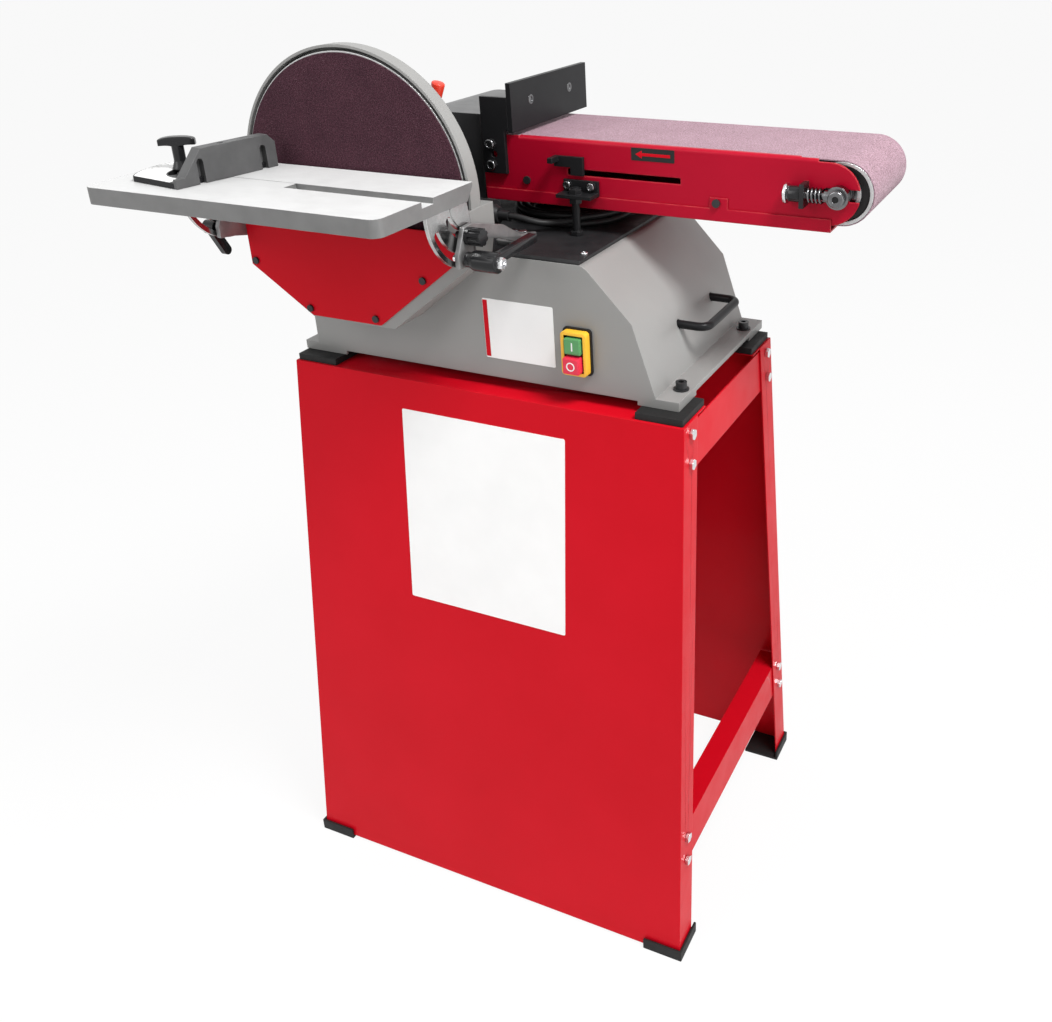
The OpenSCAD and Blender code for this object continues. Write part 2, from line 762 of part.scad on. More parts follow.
module arm_screws() {
  color(steel) for (p = arm_screw_at) {
    y = p[0] > 100 ? arm_y0 - 1.8 : arm_y0;
    along_y(y - 2.6, y, 4.6, p[0], p[1]);
    along_y(y - 0.5, arm_y0 + 3, 2.1, p[0], p[1]);
  }
}

module arm_cover() {
  low = spin_z - arm_r - 3.5;
  x1 = idler_x - 8;
  back = arm_y1 + arm_sheet;
  color(red) difference() {
    union() {
      box([cover_x0, arm_y0 - 1.8, low], [x1, back + 1.8, low + 2]);
      box([cover_x0, arm_y0 - 1.8, low], [x1, arm_y0 - 0.2, spin_z - 26]);
      box([241, arm_y0 - 1.8, low], [262, arm_y0 - 0.2, spin_z - 14]);
      box([cover_x0, back + 0.2, low], [x1, back + 1.8, spin_z - 26]);
    }
    for (p = arm_screw_at) along_y(arm_y0 - 3, arm_y0, 2.4, p[0], p[1]);
  }
}

module platen() {
  color(steel) difference() {
    box([-70, arm_y0 + arm_sheet + 0.2, spin_z + 26], [334, arm_y1 - 0.2, spin_z + drum_r - 0.1]);
    box([-60, arm_y0 + 14, spin_z + 25], [324, arm_y1 - 12, spin_z + drum_r - 4]);
  }
}

module drum_hood() {
  y0 = arm_y0;
  y1 = arm_y1 + arm_sheet;
  color(black) difference() {
    union() {
      along_y(y0, y1, hood_r, spin_x, spin_z);
      box([spin_x, y0, spin_z - 41], [hood_x1, y1, spin_z + hood_r]);
      box([hood_x1 - 1, y0, spin_z + hood_r - 2.5], [-22, y1, spin_z + hood_r]);
    }
    along_y(y0 + 2.5, y1 - 2.5, hood_r - 2.5, spin_x, spin_z);
    box([spin_x, y0 + 2.5, spin_z - 38.5], [hood_x1 + 1, y1 - 2.5, spin_z + hood_r - 2.5]);
    along_y(y0 - 1, y0 + 3, 30.3, spin_x, spin_z);
    along_y(y1 - 3, y1 + 1, 16, spin_x, spin_z);
  }
}

module abrasive_belt() {
  color(maroon) difference() {
    loop_solid(belt_y0, belt_y1, belt_r + belt_t, spin_x, spin_z, idler_x, spin_z);
    loop_solid(belt_y0 - 1, belt_y1 + 1, belt_r, spin_x, spin_z, idler_x, spin_z);
  }
}

module work_stop() {
  color(black) difference() {
    box([-6, arm_y0 - 5.5, spin_z + 40], [0, belt_y1 + 22, spin_z + 95]);
    for (y = [arm_y0 + 40, belt_y1 - 23]) along_x(-7, 1, 3.5, y, spin_z + 71);
  }
}

module work_stop_bracket() {
  color(black) {
    difference() {
      union() {
        box([-42, arm_y0 - 5.5, spin_z - 8], [-12, arm_y0 - 0.2, spin_z + 79]);
        box([-12.5, arm_y0 - 5.5, spin_z + 42], [-6.2, arm_y0 - 0.2, spin_z + 79]);
        box([-10.5, arm_y0 - 5.5, spin_z + 42], [-6.2, arm_y0 + 26, spin_z + 79]);
      }
      along_y(arm_y0 - 7, arm_y0 + 1, 4, -27, spin_z + 14);
      for (z = [spin_z + 26, spin_z + 2]) along_y(arm_y0 - 7, arm_y0 + 1, 3.4, -30, z);
    }
    for (z = [spin_z + 26, spin_z + 2]) {
      translate([-30, arm_y0 - 9.5, z]) rotate([-90, 0, 0]) cylinder(h = 4, r = 6, $fn = 6);
      along_y(arm_y0 - 6, arm_y0 + 2.5, 3.4, -30, z);
    }
  }
}

module arm_stop() {
  color(black) {
    difference() {
      union() {
        box([62, arm_y0 - 4, spin_z - 25], [106, arm_y0 - 0.2, spin_z - 8]);
        box([62, arm_y0 - 24, spin_z - 25], [106, arm_y0 - 0.2, spin_z - 21]);
      }
      for (x = [68, 98]) along_y(arm_y0 - 5, arm_y0 + 1, 3.1, x, spin_z - 14);
    }
    for (x = [68, 98]) {
      along_y(arm_y0 - 7, arm_y0 - 4, 5, x, spin_z - 14);
      along_y(arm_y0 - 5, arm_y0 + 2.4, 2.9, x, spin_z - 14);
    }
    translate([82, arm_y0 - 14, plate_top + 0.3]) {
      cylinder(h = 5, r = 8, $fn = 6);
      cylinder(h = spin_z - 14 - plate_top, r = 4.5);
    }
    translate([82, arm_y0 - 14, spin_z - 21]) cylinder(h = 6, r = 8, $fn = 6);
    translate([82, arm_y0 - 14, spin_z - 31.5]) cylinder(h = 6.5, r = 8, $fn = 6);
  }
}

module tension_lever() {
  color(black) {
    box([51, arm_y0 - 4.5, spin_z + 6], [88, arm_y0 - 0.4, spin_z + 18]);
    box([72, arm_y0 - 4.5, spin_z - 3], [88, arm_y0 - 0.4, spin_z + 8]);
    along_y(arm_y0 - 1, arm_y0 + 7, 3.1, 79, spin_z);
    along_y(arm_y0 + arm_sheet + 0.4, arm_y0 + 7, 6.5, 79, spin_z);
    box([51, arm_y0 - 20, spin_z + 12], [57, arm_y0 - 0.4, spin_z + 18]);
  }
}

// Belt tension
rod_y = arm_y0 - 9;

module tension_rod() {
  color(steel) {
    difference() {
      along_y(rod_y - 5, rod_y + 5, 12, idler_x, spin_z);
      along_y(rod_y - 6, rod_y + 6, 6.2, idler_x, spin_z);
    }
    along_x(326, idler_x - 11, 4, rod_y, spin_z);
    along_x(371.3, idler_x - 8, 6.5, rod_y, spin_z);
    translate([332, rod_y, spin_z]) rotate([0, 90, 0]) cylinder(h = 6.5, r = 8, $fn = 6);
    along_x(338, 346.7, 7, rod_y, spin_z);
  }
}

spring_x0 = 353;
spring_x1 = 369.4;
spring_turns = 4;
spring_path = [for (i = [0:8 * spring_turns]) let (a = 45 * i, t = i / (8 * spring_turns))
  [spring_x0 + (spring_x1 - spring_x0) * t, rod_y + 7.3 * cos(a), spin_z + 7.3 * sin(a)]];

module tension_spring() {
  color(steel) tube(spring_path, 1.3, 6);
}

module idler_fork() {
  y0 = arm_y0 + arm_sheet + 0.4;
  y1 = arm_y1 - 0.4;
  color(black) difference() {
    union() {
      along_y(rod_y - 9, arm_y1 + 12, 6, idler_x, spin_z);
      along_y(rod_y - 9, rod_y - 5.3, 9, idler_x, spin_z);
      for (y = [[y0, belt_y0 - 1.4], [belt_y1 + 1.4, y1]]) {
        box([idler_x - 48, y[0], spin_z - 11], [idler_x, y[1], spin_z + 11]);
        along_y(y[0], y[1], 11, idler_x, spin_z);
      }
      box([idler_x - 48, y0, spin_z - 18], [idler_x - 42, y1, spin_z + 18]);
    }
  }
}

module idler_drum() {
  color(alloy) difference() {
    along_y(belt_y0 - 1, belt_y1 + 1, drum_r, idler_x, spin_z);
    along_y(belt_y0 - 2, belt_y1 + 2, 13, idler_x, spin_z);
    along_y(belt_y0 - 2, belt_y0 + 10, 16.05, idler_x, spin_z);
    along_y(belt_y1 - 10, belt_y1 + 2, 16.05, idler_x, spin_z);
    for (y = [[belt_y0 - 2, belt_y0 + 7], [belt_y1 - 7, belt_y1 + 2]]) difference() {
      along_y(y[0], y[1], drum_r - 3.5, idler_x, spin_z);
      along_y(y[0] - 1, y[1] + 1, 20, idler_x, spin_z);
    }
  }
}

module idler_bearings() {
  color(steel) {
    bearing(belt_y0 - 0.5, idler_x, 16, 6.08, 10);
    bearing(belt_y1 - 9.5, idler_x, 16, 6.08, 10);
  }
}

module arm_lock_lever() {
  z = spin_z + 44;
  color(black) translate([-84, 85, z]) {
    translate([0, 0, -18]) cylinder(h = 26, r = 4);
    translate([0, 0, 0.4]) cylinder(h = 12, r = 9);
    translate([0, 0, 7]) rotate([0, 18, 0]) {
      cylinder(h = 38, r = 3.6);
      translate([0, 0, 32]) cylinder(h = 17, r1 = 5.5, r2 = 7);
    }
  }
}

// Cord
function unit(v) = v / norm(v);
function ring_at(path, i, r, sides) =
  let (n = len(path), d = unit(path[min(i + 1, n - 1)] - path[max(i - 1, 0)]),
    s = unit(cross(abs(d[2]) > 0.9 ? [1, 0, 0] : [0, 0, 1], d)), u = cross(d, s))
  [for (k = [0:sides - 1]) path[i] + r * (cos(360 * k / sides) * s + sin(360 * k / sides) * u)];

module tube(path, r, sides) {
  n = len(path);
  points = concat([for (i = [0:n - 1]) each ring_at(path, i, r, sides)], [path[0], path[n - 1]]);
  faces = concat(
    [for (i = [0:n - 2]) for (k = [0:sides - 1]) let (m = (k + 1) % sides)
      each [[i * sides + k, (i + 1) * sides + k, (i + 1) * sides + m],
        [i * sides + k, (i + 1) * sides + m, i * sides + m]]],
    [for (k = [0:sides - 1]) [n * sides, k, (k + 1) % sides]],
    [for (k = [0:sides - 1]) [n * sides + 1, (n - 1) * sides + (k + 1) % sides, (n - 1) * sides + k]]);
  polyhedron(points, faces);
}

coil_steps = round((2 * coil_turns + 0.5) * 24);
function coil_radius(t) = coil_r - coil_pitch * (t < coil_turns ? t :
  t < coil_turns + 0.5 ? coil_turns : 2 * coil_turns + 0.5 - t);
function coil_height(t) = coil_z + coil_lift * max(0, min(1, (t - coil_turns) / 0.5));
function coil_point(t) = [coil_c[0] + coil_radius(t) * cos(360 * t),
  coil_c[1] - coil_radius(t) * sin(360 * t), coil_height(t)];
coil_start = coil_point(0);
coil_end = coil_point(coil_steps / 24);
coil_in = [0, 1, 0];
coil_out = [-sin(360 * coil_steps / 24), -cos(360 * coil_steps / 24), 0];
coil_path = concat([coil_start + cord_d * coil_in], [for (i = [0:coil_steps]) coil_point(i / 24)],
  [coil_end + cord_d * coil_out]);
coil_gap = min([for (i = [0:coil_steps]) for (j = [i + 12:1:coil_steps])
  norm(coil_path[i + 1] - coil_path[j + 1])]) - cord_d;
spring_gap = min([for (i = [0:8 * spring_turns]) for (j = [i + 5:1:8 * spring_turns])
  norm(spring_path[i] - spring_path[j])]) - 2.6;
echo(coil_gap = coil_gap, spring_gap = spring_gap, cord_end = coil_path[coil_steps + 2]);

gland_at = [108, 262];
plug_at = [-53, 102, plate_top + 17.5];
lead_path = [[108, 246, plate_top + 5], [107, 236, plate_top + 4.4], [105, 224, plate_top + 4],
  coil_start + 1.6 * cord_d * coil_in, coil_start + 1.04 * cord_d * coil_in];

module cord_gland() {
  color(black) translate([gland_at[0], gland_at[1], plate_top]) {
    cylinder(h = 3, r = 12);
    cylinder(h = 12, r = 8);
    difference() {
      translate([0, 2, 5]) rotate([90, 0, 0]) cylinder(h = 17, r1 = 8, r2 = 5.4);
      translate([-20, -30, -10]) cube([40, 60, 10]);
    }
  }
}

module cord_lead() {
  color(black) tube(lead_path, cord_r, 10);
}

module cord_coil() {
  color(black) tube(coil_path, cord_r, 6);
}

tail_0 = coil_end + 1.04 * cord_d * coil_out;
tail_path = [tail_0, tail_0 + 8 * coil_out - [0, 0, 1], tail_0 + 18 * coil_out - [0, 0, 3],
  [46, 118, plate_top + 10], [36, 110, plate_top + 11.4], [26, 105.4, plate_top + 14],
  [16, 103.4, plate_top + 16.4], [8, 102.4, plate_top + 17.3], [1, 102, plate_top + 17.5]];

module cord_tail() {
  color(black) tube(tail_path, cord_r, 10);
}

module cord_plug() {
  color(black) translate(plug_at) difference() {
    union() {
      along_x(0, 34, 17.3, 0, 0);
      translate([33, 0, 0]) rotate([0, 90, 0]) cylinder(h = 8, r1 = 13, r2 = 9);
      along_x(40, 54, 6, 0, 0);
      for (y = [-9.5, 9.5]) along_x(-17, 4, 2.4, y, 0);
    }
    along_x(50, 55, 4.2, 0, 0);
  }
}

module place() {
  translate([-mid_x, -mid_y, 0]) children();
}

place() front_panel();
place() rear_panel();
place() stand_rails();
place() stand_bolts();
place() foot_caps();
place() machine_pads();
place() base_housing();
place() base_bolts();
place() top_plate();
place() carry_handle();
place() switch_box();
place() start_button();
place() stop_button();
place() spindle_housing();
place() spindle_bearings();
place() spindle_shaft();
place() spindle_pulley();
place() drive_belt();
place() motor_pulley();
place() motor_shaft();
place() motor();
place() motor_cradle();
place() disc_plate();
place() abrasive_disc();
place() disc_housing();
place() front_cover();
place() cover_screws();
place() disc_table();
place() quadrants();
place() trunnion_brackets();
place() bracket_bolts();
place() table_lock_lever();
place() table_lock_knob();
place() left_lock_lever();
place() miter_bar();
place() miter_head();
place() miter_fence();
place() miter_knob();
place() drive_drum();
place() arm_frame();
place() arm_cover();
place() platen();
place() drum_hood();
place() abrasive_belt();
place() work_stop();
place() work_stop_bracket();
place() arm_stop();
place() arm_screws();
place() tension_lever();
place() tension_rod();
place() tension_spring();
place() idler_fork();
place() idler_drum();
place() idler_bearings();
place() arm_lock_lever();
place() cord_gland();
place() cord_lead();
place() cord_coil();
place() cord_tail();
place() cord_plug();
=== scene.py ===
import math
import bmesh
import bpy
from mathutils import Matrix, Vector


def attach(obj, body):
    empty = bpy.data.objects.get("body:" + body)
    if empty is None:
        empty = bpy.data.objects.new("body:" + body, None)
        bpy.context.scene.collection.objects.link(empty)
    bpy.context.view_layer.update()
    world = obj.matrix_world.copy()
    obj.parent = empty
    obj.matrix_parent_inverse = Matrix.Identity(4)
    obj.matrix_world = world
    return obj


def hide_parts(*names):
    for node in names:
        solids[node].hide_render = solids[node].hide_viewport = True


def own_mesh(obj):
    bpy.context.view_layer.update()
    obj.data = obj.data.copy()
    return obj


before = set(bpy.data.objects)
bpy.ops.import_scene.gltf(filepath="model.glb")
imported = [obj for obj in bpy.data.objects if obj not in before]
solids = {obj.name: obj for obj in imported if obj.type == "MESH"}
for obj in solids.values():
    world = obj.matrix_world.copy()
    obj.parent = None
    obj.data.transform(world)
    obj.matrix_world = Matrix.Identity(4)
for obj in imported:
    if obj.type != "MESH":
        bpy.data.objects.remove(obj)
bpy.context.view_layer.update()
scene = bpy.context.scene
scene.view_settings.view_transform = "Standard"

# Places on the stand's own axes, in millimetres, and the angle of the miter gauge at rest
MID_X = 43.5
MID_Y = 91.994
PLATE_TOP = 893.0
SPIN_Z = 962.0
TENSION_Y = 120
IDLER_X = 385.5
MITER_SET = 9


def at(x, y, z):
    """From millimetres on the stand's own axes to the frame's metres."""
    return Vector(((x - MID_X) / 1000, (y - MID_Y) / 1000, z / 1000))


def spot(v):
    """From the frame's metres back to millimetres on the stand's own axes."""
    return Vector((v.x * 1000 + MID_X, v.y * 1000 + MID_Y, v.z * 1000))


# Camera, light and floor

def studio_camera():
    """Camera of the photograph, whose optical centre isn't in the middle of the cropped picture."""
    azimuth, elevation, roll = 24.189, 25.517, -0.893
    data = bpy.data.cameras.new("studio_camera")
    camera = bpy.data.objects.new("studio_camera", data)
    scene.collection.objects.link(camera)
    data.sensor_width = 36
    data.lens = 37.07
    data.shift_x = -0.1251
    data.shift_y = -0.0891
    data.clip_end = 200
    aim = (Matrix.Rotation(math.radians(azimuth), 4, "Z")
           @ Matrix.Rotation(math.radians(90 - elevation), 4, "X")
           @ Matrix.Rotation(math.radians(roll), 4, "Z"))
    camera.matrix_world = Matrix.Translation(at(664.54, -962.99, 1240.93)) @ aim
    scene.camera = camera


def soft_box(name, place, aim, width, height, watts):
    data = bpy.data.lights.new(name, "AREA")
    data.shape = "RECTANGLE"
    data.size = width
    data.size_y = height
    data.energy = watts
    lamp = bpy.data.objects.new(name, data)
    scene.collection.objects.link(lamp)
    lamp.location = place
    lamp.rotation_euler = (Vector(aim) - Vector(place)).to_track_quat("-Z", "Y").to_euler()


def seen_rays(tree):
    """Share of the rays that look straight, by mirror or through glass at the backdrop."""
    path = tree.nodes.new("ShaderNodeLightPath")
    mirror = tree.nodes.new("ShaderNodeMath")
    mirror.operation = "ADD"
    tree.links.new(path.outputs["Is Camera Ray"], mirror.inputs[0])
    tree.links.new(path.outputs["Is Glossy Ray"], mirror.inputs[1])
    glass = tree.nodes.new("ShaderNodeMath")
    glass.operation = "ADD"
    glass.use_clamp = True
    tree.links.new(mirror.outputs["Value"], glass.inputs[0])
    tree.links.new(path.outputs["Is Transmission Ray"], glass.inputs[1])
    return glass.outputs["Value"]


def studio_light():
    world = bpy.data.worlds.new("studio")
    scene.world = world
    world.use_nodes = True
    tree = world.node_tree
    tree.nodes.clear()
    out = tree.nodes.new("ShaderNodeOutputWorld")
    mix = tree.nodes.new("ShaderNodeMixShader")
    room = tree.nodes.new("ShaderNodeBackground")
    room.inputs["Color"].default_value = (1, 1, 1, 1)
    room.inputs["Strength"].default_value = 0.5
    white = tree.nodes.new("ShaderNodeBackground")
    white.inputs["Color"].default_value = (1, 1, 1, 1)
    white.inputs["Strength"].default_value = 1.0
    tree.links.new(seen_rays(tree), mix.inputs["Fac"])
    tree.links.new(room.outputs["Background"], mix.inputs[1])
    tree.links.new(white.outputs["Background"], mix.inputs[2])
    tree.links.new(mix.outputs["Shader"], out.inputs["Surface"])
    soft_box("top_box", (1.2, -0.4, 2.7), (0.05, 0.0, 0.8), 0.8, 0.6, 62)
    soft_box("front_box", (-1.2, -1.9, 2.2), (0.0, 0.0, 0.6), 1.4, 1.8, 25)
    soft_box("right_box", (2.6, 0.0, 0.85), (0.1, 0.0, 0.6), 1.4, 1.7, 15)


def studio_floor():
    bpy.ops.object.select_all(action="DESELECT")
    bpy.ops.mesh.primitive_plane_add(size=80, location=(0, 0, 0))
    floor = bpy.context.active_object
    floor.name = "studio_floor"
    mat = bpy.data.materials.new("studio_floor")
    mat.use_nodes = True
    tree = mat.node_tree
    tree.nodes.clear()
    out = tree.nodes.new("ShaderNodeOutputMaterial")
    mix = tree.nodes.new("ShaderNodeMixShader")
    matt = tree.nodes.new("ShaderNodeBsdfDiffuse")
    matt.inputs["Color"].default_value = (0.9, 0.9, 0.9, 1)
    glow = tree.nodes.new("ShaderNodeEmission")
    glow.inputs["Color"].default_value = (1, 1, 1, 1)
    glow.inputs["Strength"].default_value = 1.0
    share = tree.nodes.new("ShaderNodeMath")
    share.operation = "MULTIPLY"
    share.inputs[1].default_value = 0.9
    tree.links.new(seen_rays(tree), share.inputs[0])
    tree.links.new(share.outputs["Value"], mix.inputs["Fac"])
    tree.links.new(matt.outputs["BSDF"], mix.inputs[1])
    tree.links.new(glow.outputs["Emission"], mix.inputs[2])
    tree.links.new(mix.outputs["Shader"], out.inputs["Surface"])
    floor.data.materials.append(mat)


studio_camera()
studio_light()
studio_floor()


# Finishes

class Finish:
    """A material with its node tree and the shortest ways to join nodes."""

    def __init__(self, name):
        self.mat = bpy.data.materials.new(name)
        self.mat.use_nodes = True
        self.tree = self.mat.node_tree
        self.tree.nodes.clear()
        self.out = self.add("ShaderNodeOutputMaterial")
        self.skin = self.add("ShaderNodeBsdfPrincipled")
        self.join(self.skin.outputs["BSDF"], self.out.inputs["Surface"])
        self.own = self.add("ShaderNodeTexCoord")
        self.space = self.own.outputs["Object"]

    def add(self, kind, **values):
        item = self.tree.nodes.new(kind)
        for key, value in values.items():
            setattr(item, key, value)
        return item

    def join(self, a, b):
        self.tree.links.new(a, b)

    def put(self, **values):
        for key, value in values.items():
            socket = self.skin.inputs[key.replace("_", " ")]
            socket.default_value = value

    def stretch(self, scale):
        item = self.add("ShaderNodeMapping")
        item.inputs["Scale"].default_value = scale
        self.join(self.space, item.inputs["Vector"])
        return item.outputs["Vector"]

    def noise(self, scale, detail=3.0, rough=0.55, where=None):
        item = self.add("ShaderNodeTexNoise")
        item.inputs["Scale"].default_value = scale
        item.inputs["Detail"].default_value = detail
        item.inputs["Roughness"].default_value = rough
        self.join(where or self.space, item.inputs["Vector"])
        return item.outputs["Fac"]

    def cells(self, scale):
        """Distance to the nearest of many scattered points."""
        item = self.add("ShaderNodeTexVoronoi")
        item.inputs["Scale"].default_value = scale
        self.join(self.space, item.inputs["Vector"])
        return item.outputs["Distance"]

    def ramp(self, value, *stops):
        item = self.add("ShaderNodeValToRGB")
        line = item.color_ramp
        for element, (place, colour) in zip(line.elements, stops):
            element.position = place
            element.color = (*colour, 1)
        self.join(value, item.inputs["Fac"])
        return item.outputs["Color"]

    def span(self, value, low, high, start=0.3, end=0.7):
        item = self.add("ShaderNodeMapRange")
        item.inputs["From Min"].default_value = start
        item.inputs["From Max"].default_value = end
        item.inputs["To Min"].default_value = low
        item.inputs["To Max"].default_value = high
        self.join(value, item.inputs["Value"])
        return item.outputs["Result"]

    def blend(self, fac, a, b, mode="MIX"):
        item = self.add("ShaderNodeMix", data_type="RGBA", blend_type=mode)
        for socket, value in ((item.inputs[0], fac), (item.inputs[6], a), (item.inputs[7], b)):
            if isinstance(value, bpy.types.NodeSocket):
                self.join(value, socket)
            elif isinstance(value, (int, float)):
                socket.default_value = value
            else:
                socket.default_value = (*value, 1)
        return item.outputs[2]

    def maths(self, kind, a, b):
        item = self.add("ShaderNodeMath", operation=kind)
        for socket, value in ((item.inputs[0], a), (item.inputs[1], b)):
            if isinstance(value, (int, float)):
                socket.default_value = value
            else:
                self.join(value, socket)
        return item.outputs["Value"]

    def colour(self, socket):
        self.join(socket, self.skin.inputs["Base Color"])

    def gloss(self, socket):
        self.join(socket, self.skin.inputs["Roughness"])

    def soften(self, radius):
        """Rounds the look of hard edges, and gives the share of edge colour along them, used for
        wear and for painted highlights.
        """
        item = self.add("ShaderNodeBevel", samples=4)
        item.inputs["Radius"].default_value = radius
        self.join(item.outputs["Normal"], self.skin.inputs["Normal"])
        dot = self.add("ShaderNodeVectorMath", operation="DOT_PRODUCT")
        self.join(item.outputs["Normal"], dot.inputs[0])
        self.join(self.add("ShaderNodeNewGeometry").outputs["Normal"], dot.inputs[1])
        rim = self.span(dot.outputs["Value"], 1.0, 0.0, 0.8, 0.995)
        return self.maths("MULTIPLY", rim, self.span(self.noise(60.0, 3.0), 0.15, 1.0, 0.35, 0.6))

    def relief(self, height, depth, strength=1.0):
        item = self.add("ShaderNodeBump")
        item.inputs["Distance"].default_value = depth
        item.inputs["Strength"].default_value = strength
        self.join(height, item.inputs["Height"])
        if self.skin.inputs["Normal"].is_linked:
            self.join(self.skin.inputs["Normal"].links[0].from_socket, item.inputs["Normal"])
        self.join(item.outputs["Normal"], self.skin.inputs["Normal"])


def enamel(name, tone, deep, edge_wear_and_highlight, rough, grain, depth, edge=0.0011):
    """Sprayed paint: fine orange peel, a slow drift of tone, and a lighter colour on the edges,
    which is worn thin paint on most parts and a painted highlight on the arm's folds.
    """
    f = Finish(name)
    rim = f.soften(edge)
    body = f.ramp(f.noise(6.0, 4.0), (0.3, deep), (0.7, tone))
    # Edges blend to a lighter colour: worn paint, and on the arm's folds a painted highlight.
    f.colour(f.blend(f.maths("MULTIPLY", rim, 0.4), body, edge_wear_and_highlight))
    f.gloss(f.span(f.noise(28.0, 3.0), rough - 0.04, rough + 0.06))
    f.relief(f.noise(grain, 2.0), depth, 0.4)
    return f


def red_enamel():
    f = enamel("red_enamel", (0.56, 0.004, 0.014), (0.52, 0.003, 0.011), (0.64, 0.03, 0.04), 0.34,
               420.0, 0.00002)
    f.put(Specular_IOR_Level=0.07, Coat_Weight=0.03, Coat_Roughness=0.12)
    return f.mat


def arm_enamel():
    """Deeper red of the arm's sheets; their folds get a pale salmon edge colour, which is a painted
    highlight.
    """
    # The third colour, pale salmon, is the painted highlight along the folds.
    f = enamel("arm_enamel", (0.4, 0.003, 0.021), (0.35, 0.002, 0.017), (0.95, 0.2, 0.18), 0.34,
               420.0, 0.00002, 0.002)
    f.put(Specular_IOR_Level=0.1, Coat_Weight=0.04, Coat_Roughness=0.12)
    return f.mat


def grey_enamel():
    f = enamel("grey_enamel", (0.26, 0.258, 0.25), (0.24, 0.238, 0.232), (0.4, 0.4, 0.39), 0.42,
               650.0, 0.00008)
    f.put(Coat_Weight=0.12, Coat_Roughness=0.3)
    return f.mat


def black_wrinkle():
    f = Finish("black_wrinkle")
    f.soften(0.001)
    drift = f.noise(11.0, 3.0)
    f.colour(f.ramp(drift, (0.3, (0.009, 0.009, 0.01)), (0.7, (0.018, 0.018, 0.019))))
    f.gloss(f.span(f.noise(60.0), 0.38, 0.55))
    f.relief(f.noise(1100.0, 3.0, 0.7), 0.00025)
    f.put(Specular_IOR_Level=0.3)
    return f.mat


def black_enamel():
    f = enamel("black_enamel", (0.014, 0.014, 0.015), (0.009, 0.009, 0.01), (0.07, 0.07, 0.072),
               0.36, 500.0, 0.00004)
    f.put(Specular_IOR_Level=0.12, Coat_Weight=0.03, Coat_Roughness=0.2)
    return f.mat


def hood_enamel():
    """Glossy black sheet that takes the light on its top."""
    f = enamel("hood_enamel", (0.022, 0.022, 0.023), (0.015, 0.015, 0.016), (0.09, 0.09, 0.092),
               0.36, 500.0, 0.00003)
    f.put(Specular_IOR_Level=0.7, Coat_Weight=0.2, Coat_Roughness=0.3)
    return f.mat


def bright_zinc():
    f = Finish("bright_zinc")
    f.soften(0.0004)
    f.colour(f.ramp(f.cells(160.0), (0.0, (0.62, 0.62, 0.64)), (0.8, (0.74, 0.74, 0.75))))
    f.put(Metallic=1.0)
    f.gloss(f.span(f.noise(140.0), 0.15, 0.26))
    f.relief(f.noise(700.0), 0.00006)
    return f.mat


def oiled_steel():
    """Darkened, oily steel with bright glints."""
    f = Finish("oiled_steel")
    f.soften(0.0005)
    f.colour(f.ramp(f.noise(90.0, 4.0), (0.3, (0.12, 0.12, 0.125)), (0.7, (0.22, 0.22, 0.225))))
    f.put(Metallic=1.0)
    f.gloss(f.span(f.noise(150.0), 0.14, 0.26))
    f.relief(f.noise(700.0), 0.00006)
    return f.mat


def polished_alloy():
    """Quadrants: turned and polished, so that they mirror the red cover beside them."""
    f = Finish("polished_alloy")
    rim = f.soften(0.0006)
    body = f.ramp(f.noise(30.0, 5.0, 0.65), (0.3, (0.3, 0.3, 0.3)), (0.7, (0.56, 0.56, 0.555)))
    f.colour(f.blend(rim, body, (0.85, 0.85, 0.84)))
    f.put(Metallic=1.0)
    f.gloss(f.span(f.noise(60.0), 0.15, 0.26))
    f.relief(f.noise(500.0, 3.0, 0.65), 0.00008)
    return f.mat


def dark_steel():
    f = Finish("dark_steel")
    f.colour(f.ramp(f.noise(40.0), (0.3, (0.012, 0.012, 0.013)), (0.7, (0.028, 0.028, 0.03))))
    f.put(Metallic=0.35)
    f.gloss(f.span(f.noise(120.0), 0.28, 0.46))
    f.relief(f.noise(900.0), 0.00008)
    return f.mat


def ground_alloy():
    """Cast table: ground lines on the top, a sprayed grey skirt with casting grain."""
    f = Finish("ground_alloy")
    rim = f.soften(0.0009)
    lines = f.noise(1.0, 3.0, 0.6, f.stretch((14.0, 1900.0, 40.0)))
    cloud = f.noise(9.0, 4.0)
    top = f.ramp(lines, (0.3, (0.58, 0.582, 0.58)), (0.7, (0.63, 0.63, 0.627)))
    top = f.blend(f.span(cloud, 0.0, 0.1), top, (0.52, 0.522, 0.52))
    skirt = f.ramp(f.noise(30.0), (0.3, (0.14, 0.14, 0.139)), (0.7, (0.175, 0.175, 0.173)))
    axis = f.add("ShaderNodeSeparateXYZ")
    f.join(f.own.outputs["Normal"], axis.inputs["Vector"])
    level = f.span(axis.outputs["Z"], 0.0, 1.0, 0.8, 0.95)
    body = f.blend(level, skirt, top)
    f.colour(f.blend(f.maths("MULTIPLY", rim, 0.6), body, (0.62, 0.62, 0.617)))
    f.gloss(f.span(f.noise(55.0), 0.36, 0.5))
    f.relief(f.noise(1300.0, 3.0, 0.6), 0.00012)
    return f.mat


def cast_alloy(name, low, high, edge_wear_and_highlight):
    """Bare casting: a drift of grey from low to high, bright on the edges as wear and as a painted
    highlight.
    """
    f = Finish(name)
    rim = f.soften(0.0009)
    body = f.ramp(f.noise(38.0, 4.0), (0.3, (low, low, low)), (0.7, (high, high, high)))
    # Bright edges: wear, and a painted highlight.
    f.colour(f.blend(rim, body, (edge_wear_and_highlight, edge_wear_and_highlight, edge_wear_and_highlight)))
    f.put(Metallic=0.75)
    f.gloss(f.span(f.noise(90.0), 0.32, 0.52))
    f.relief(f.noise(800.0, 3.0, 0.65), 0.0002)
    return f.mat


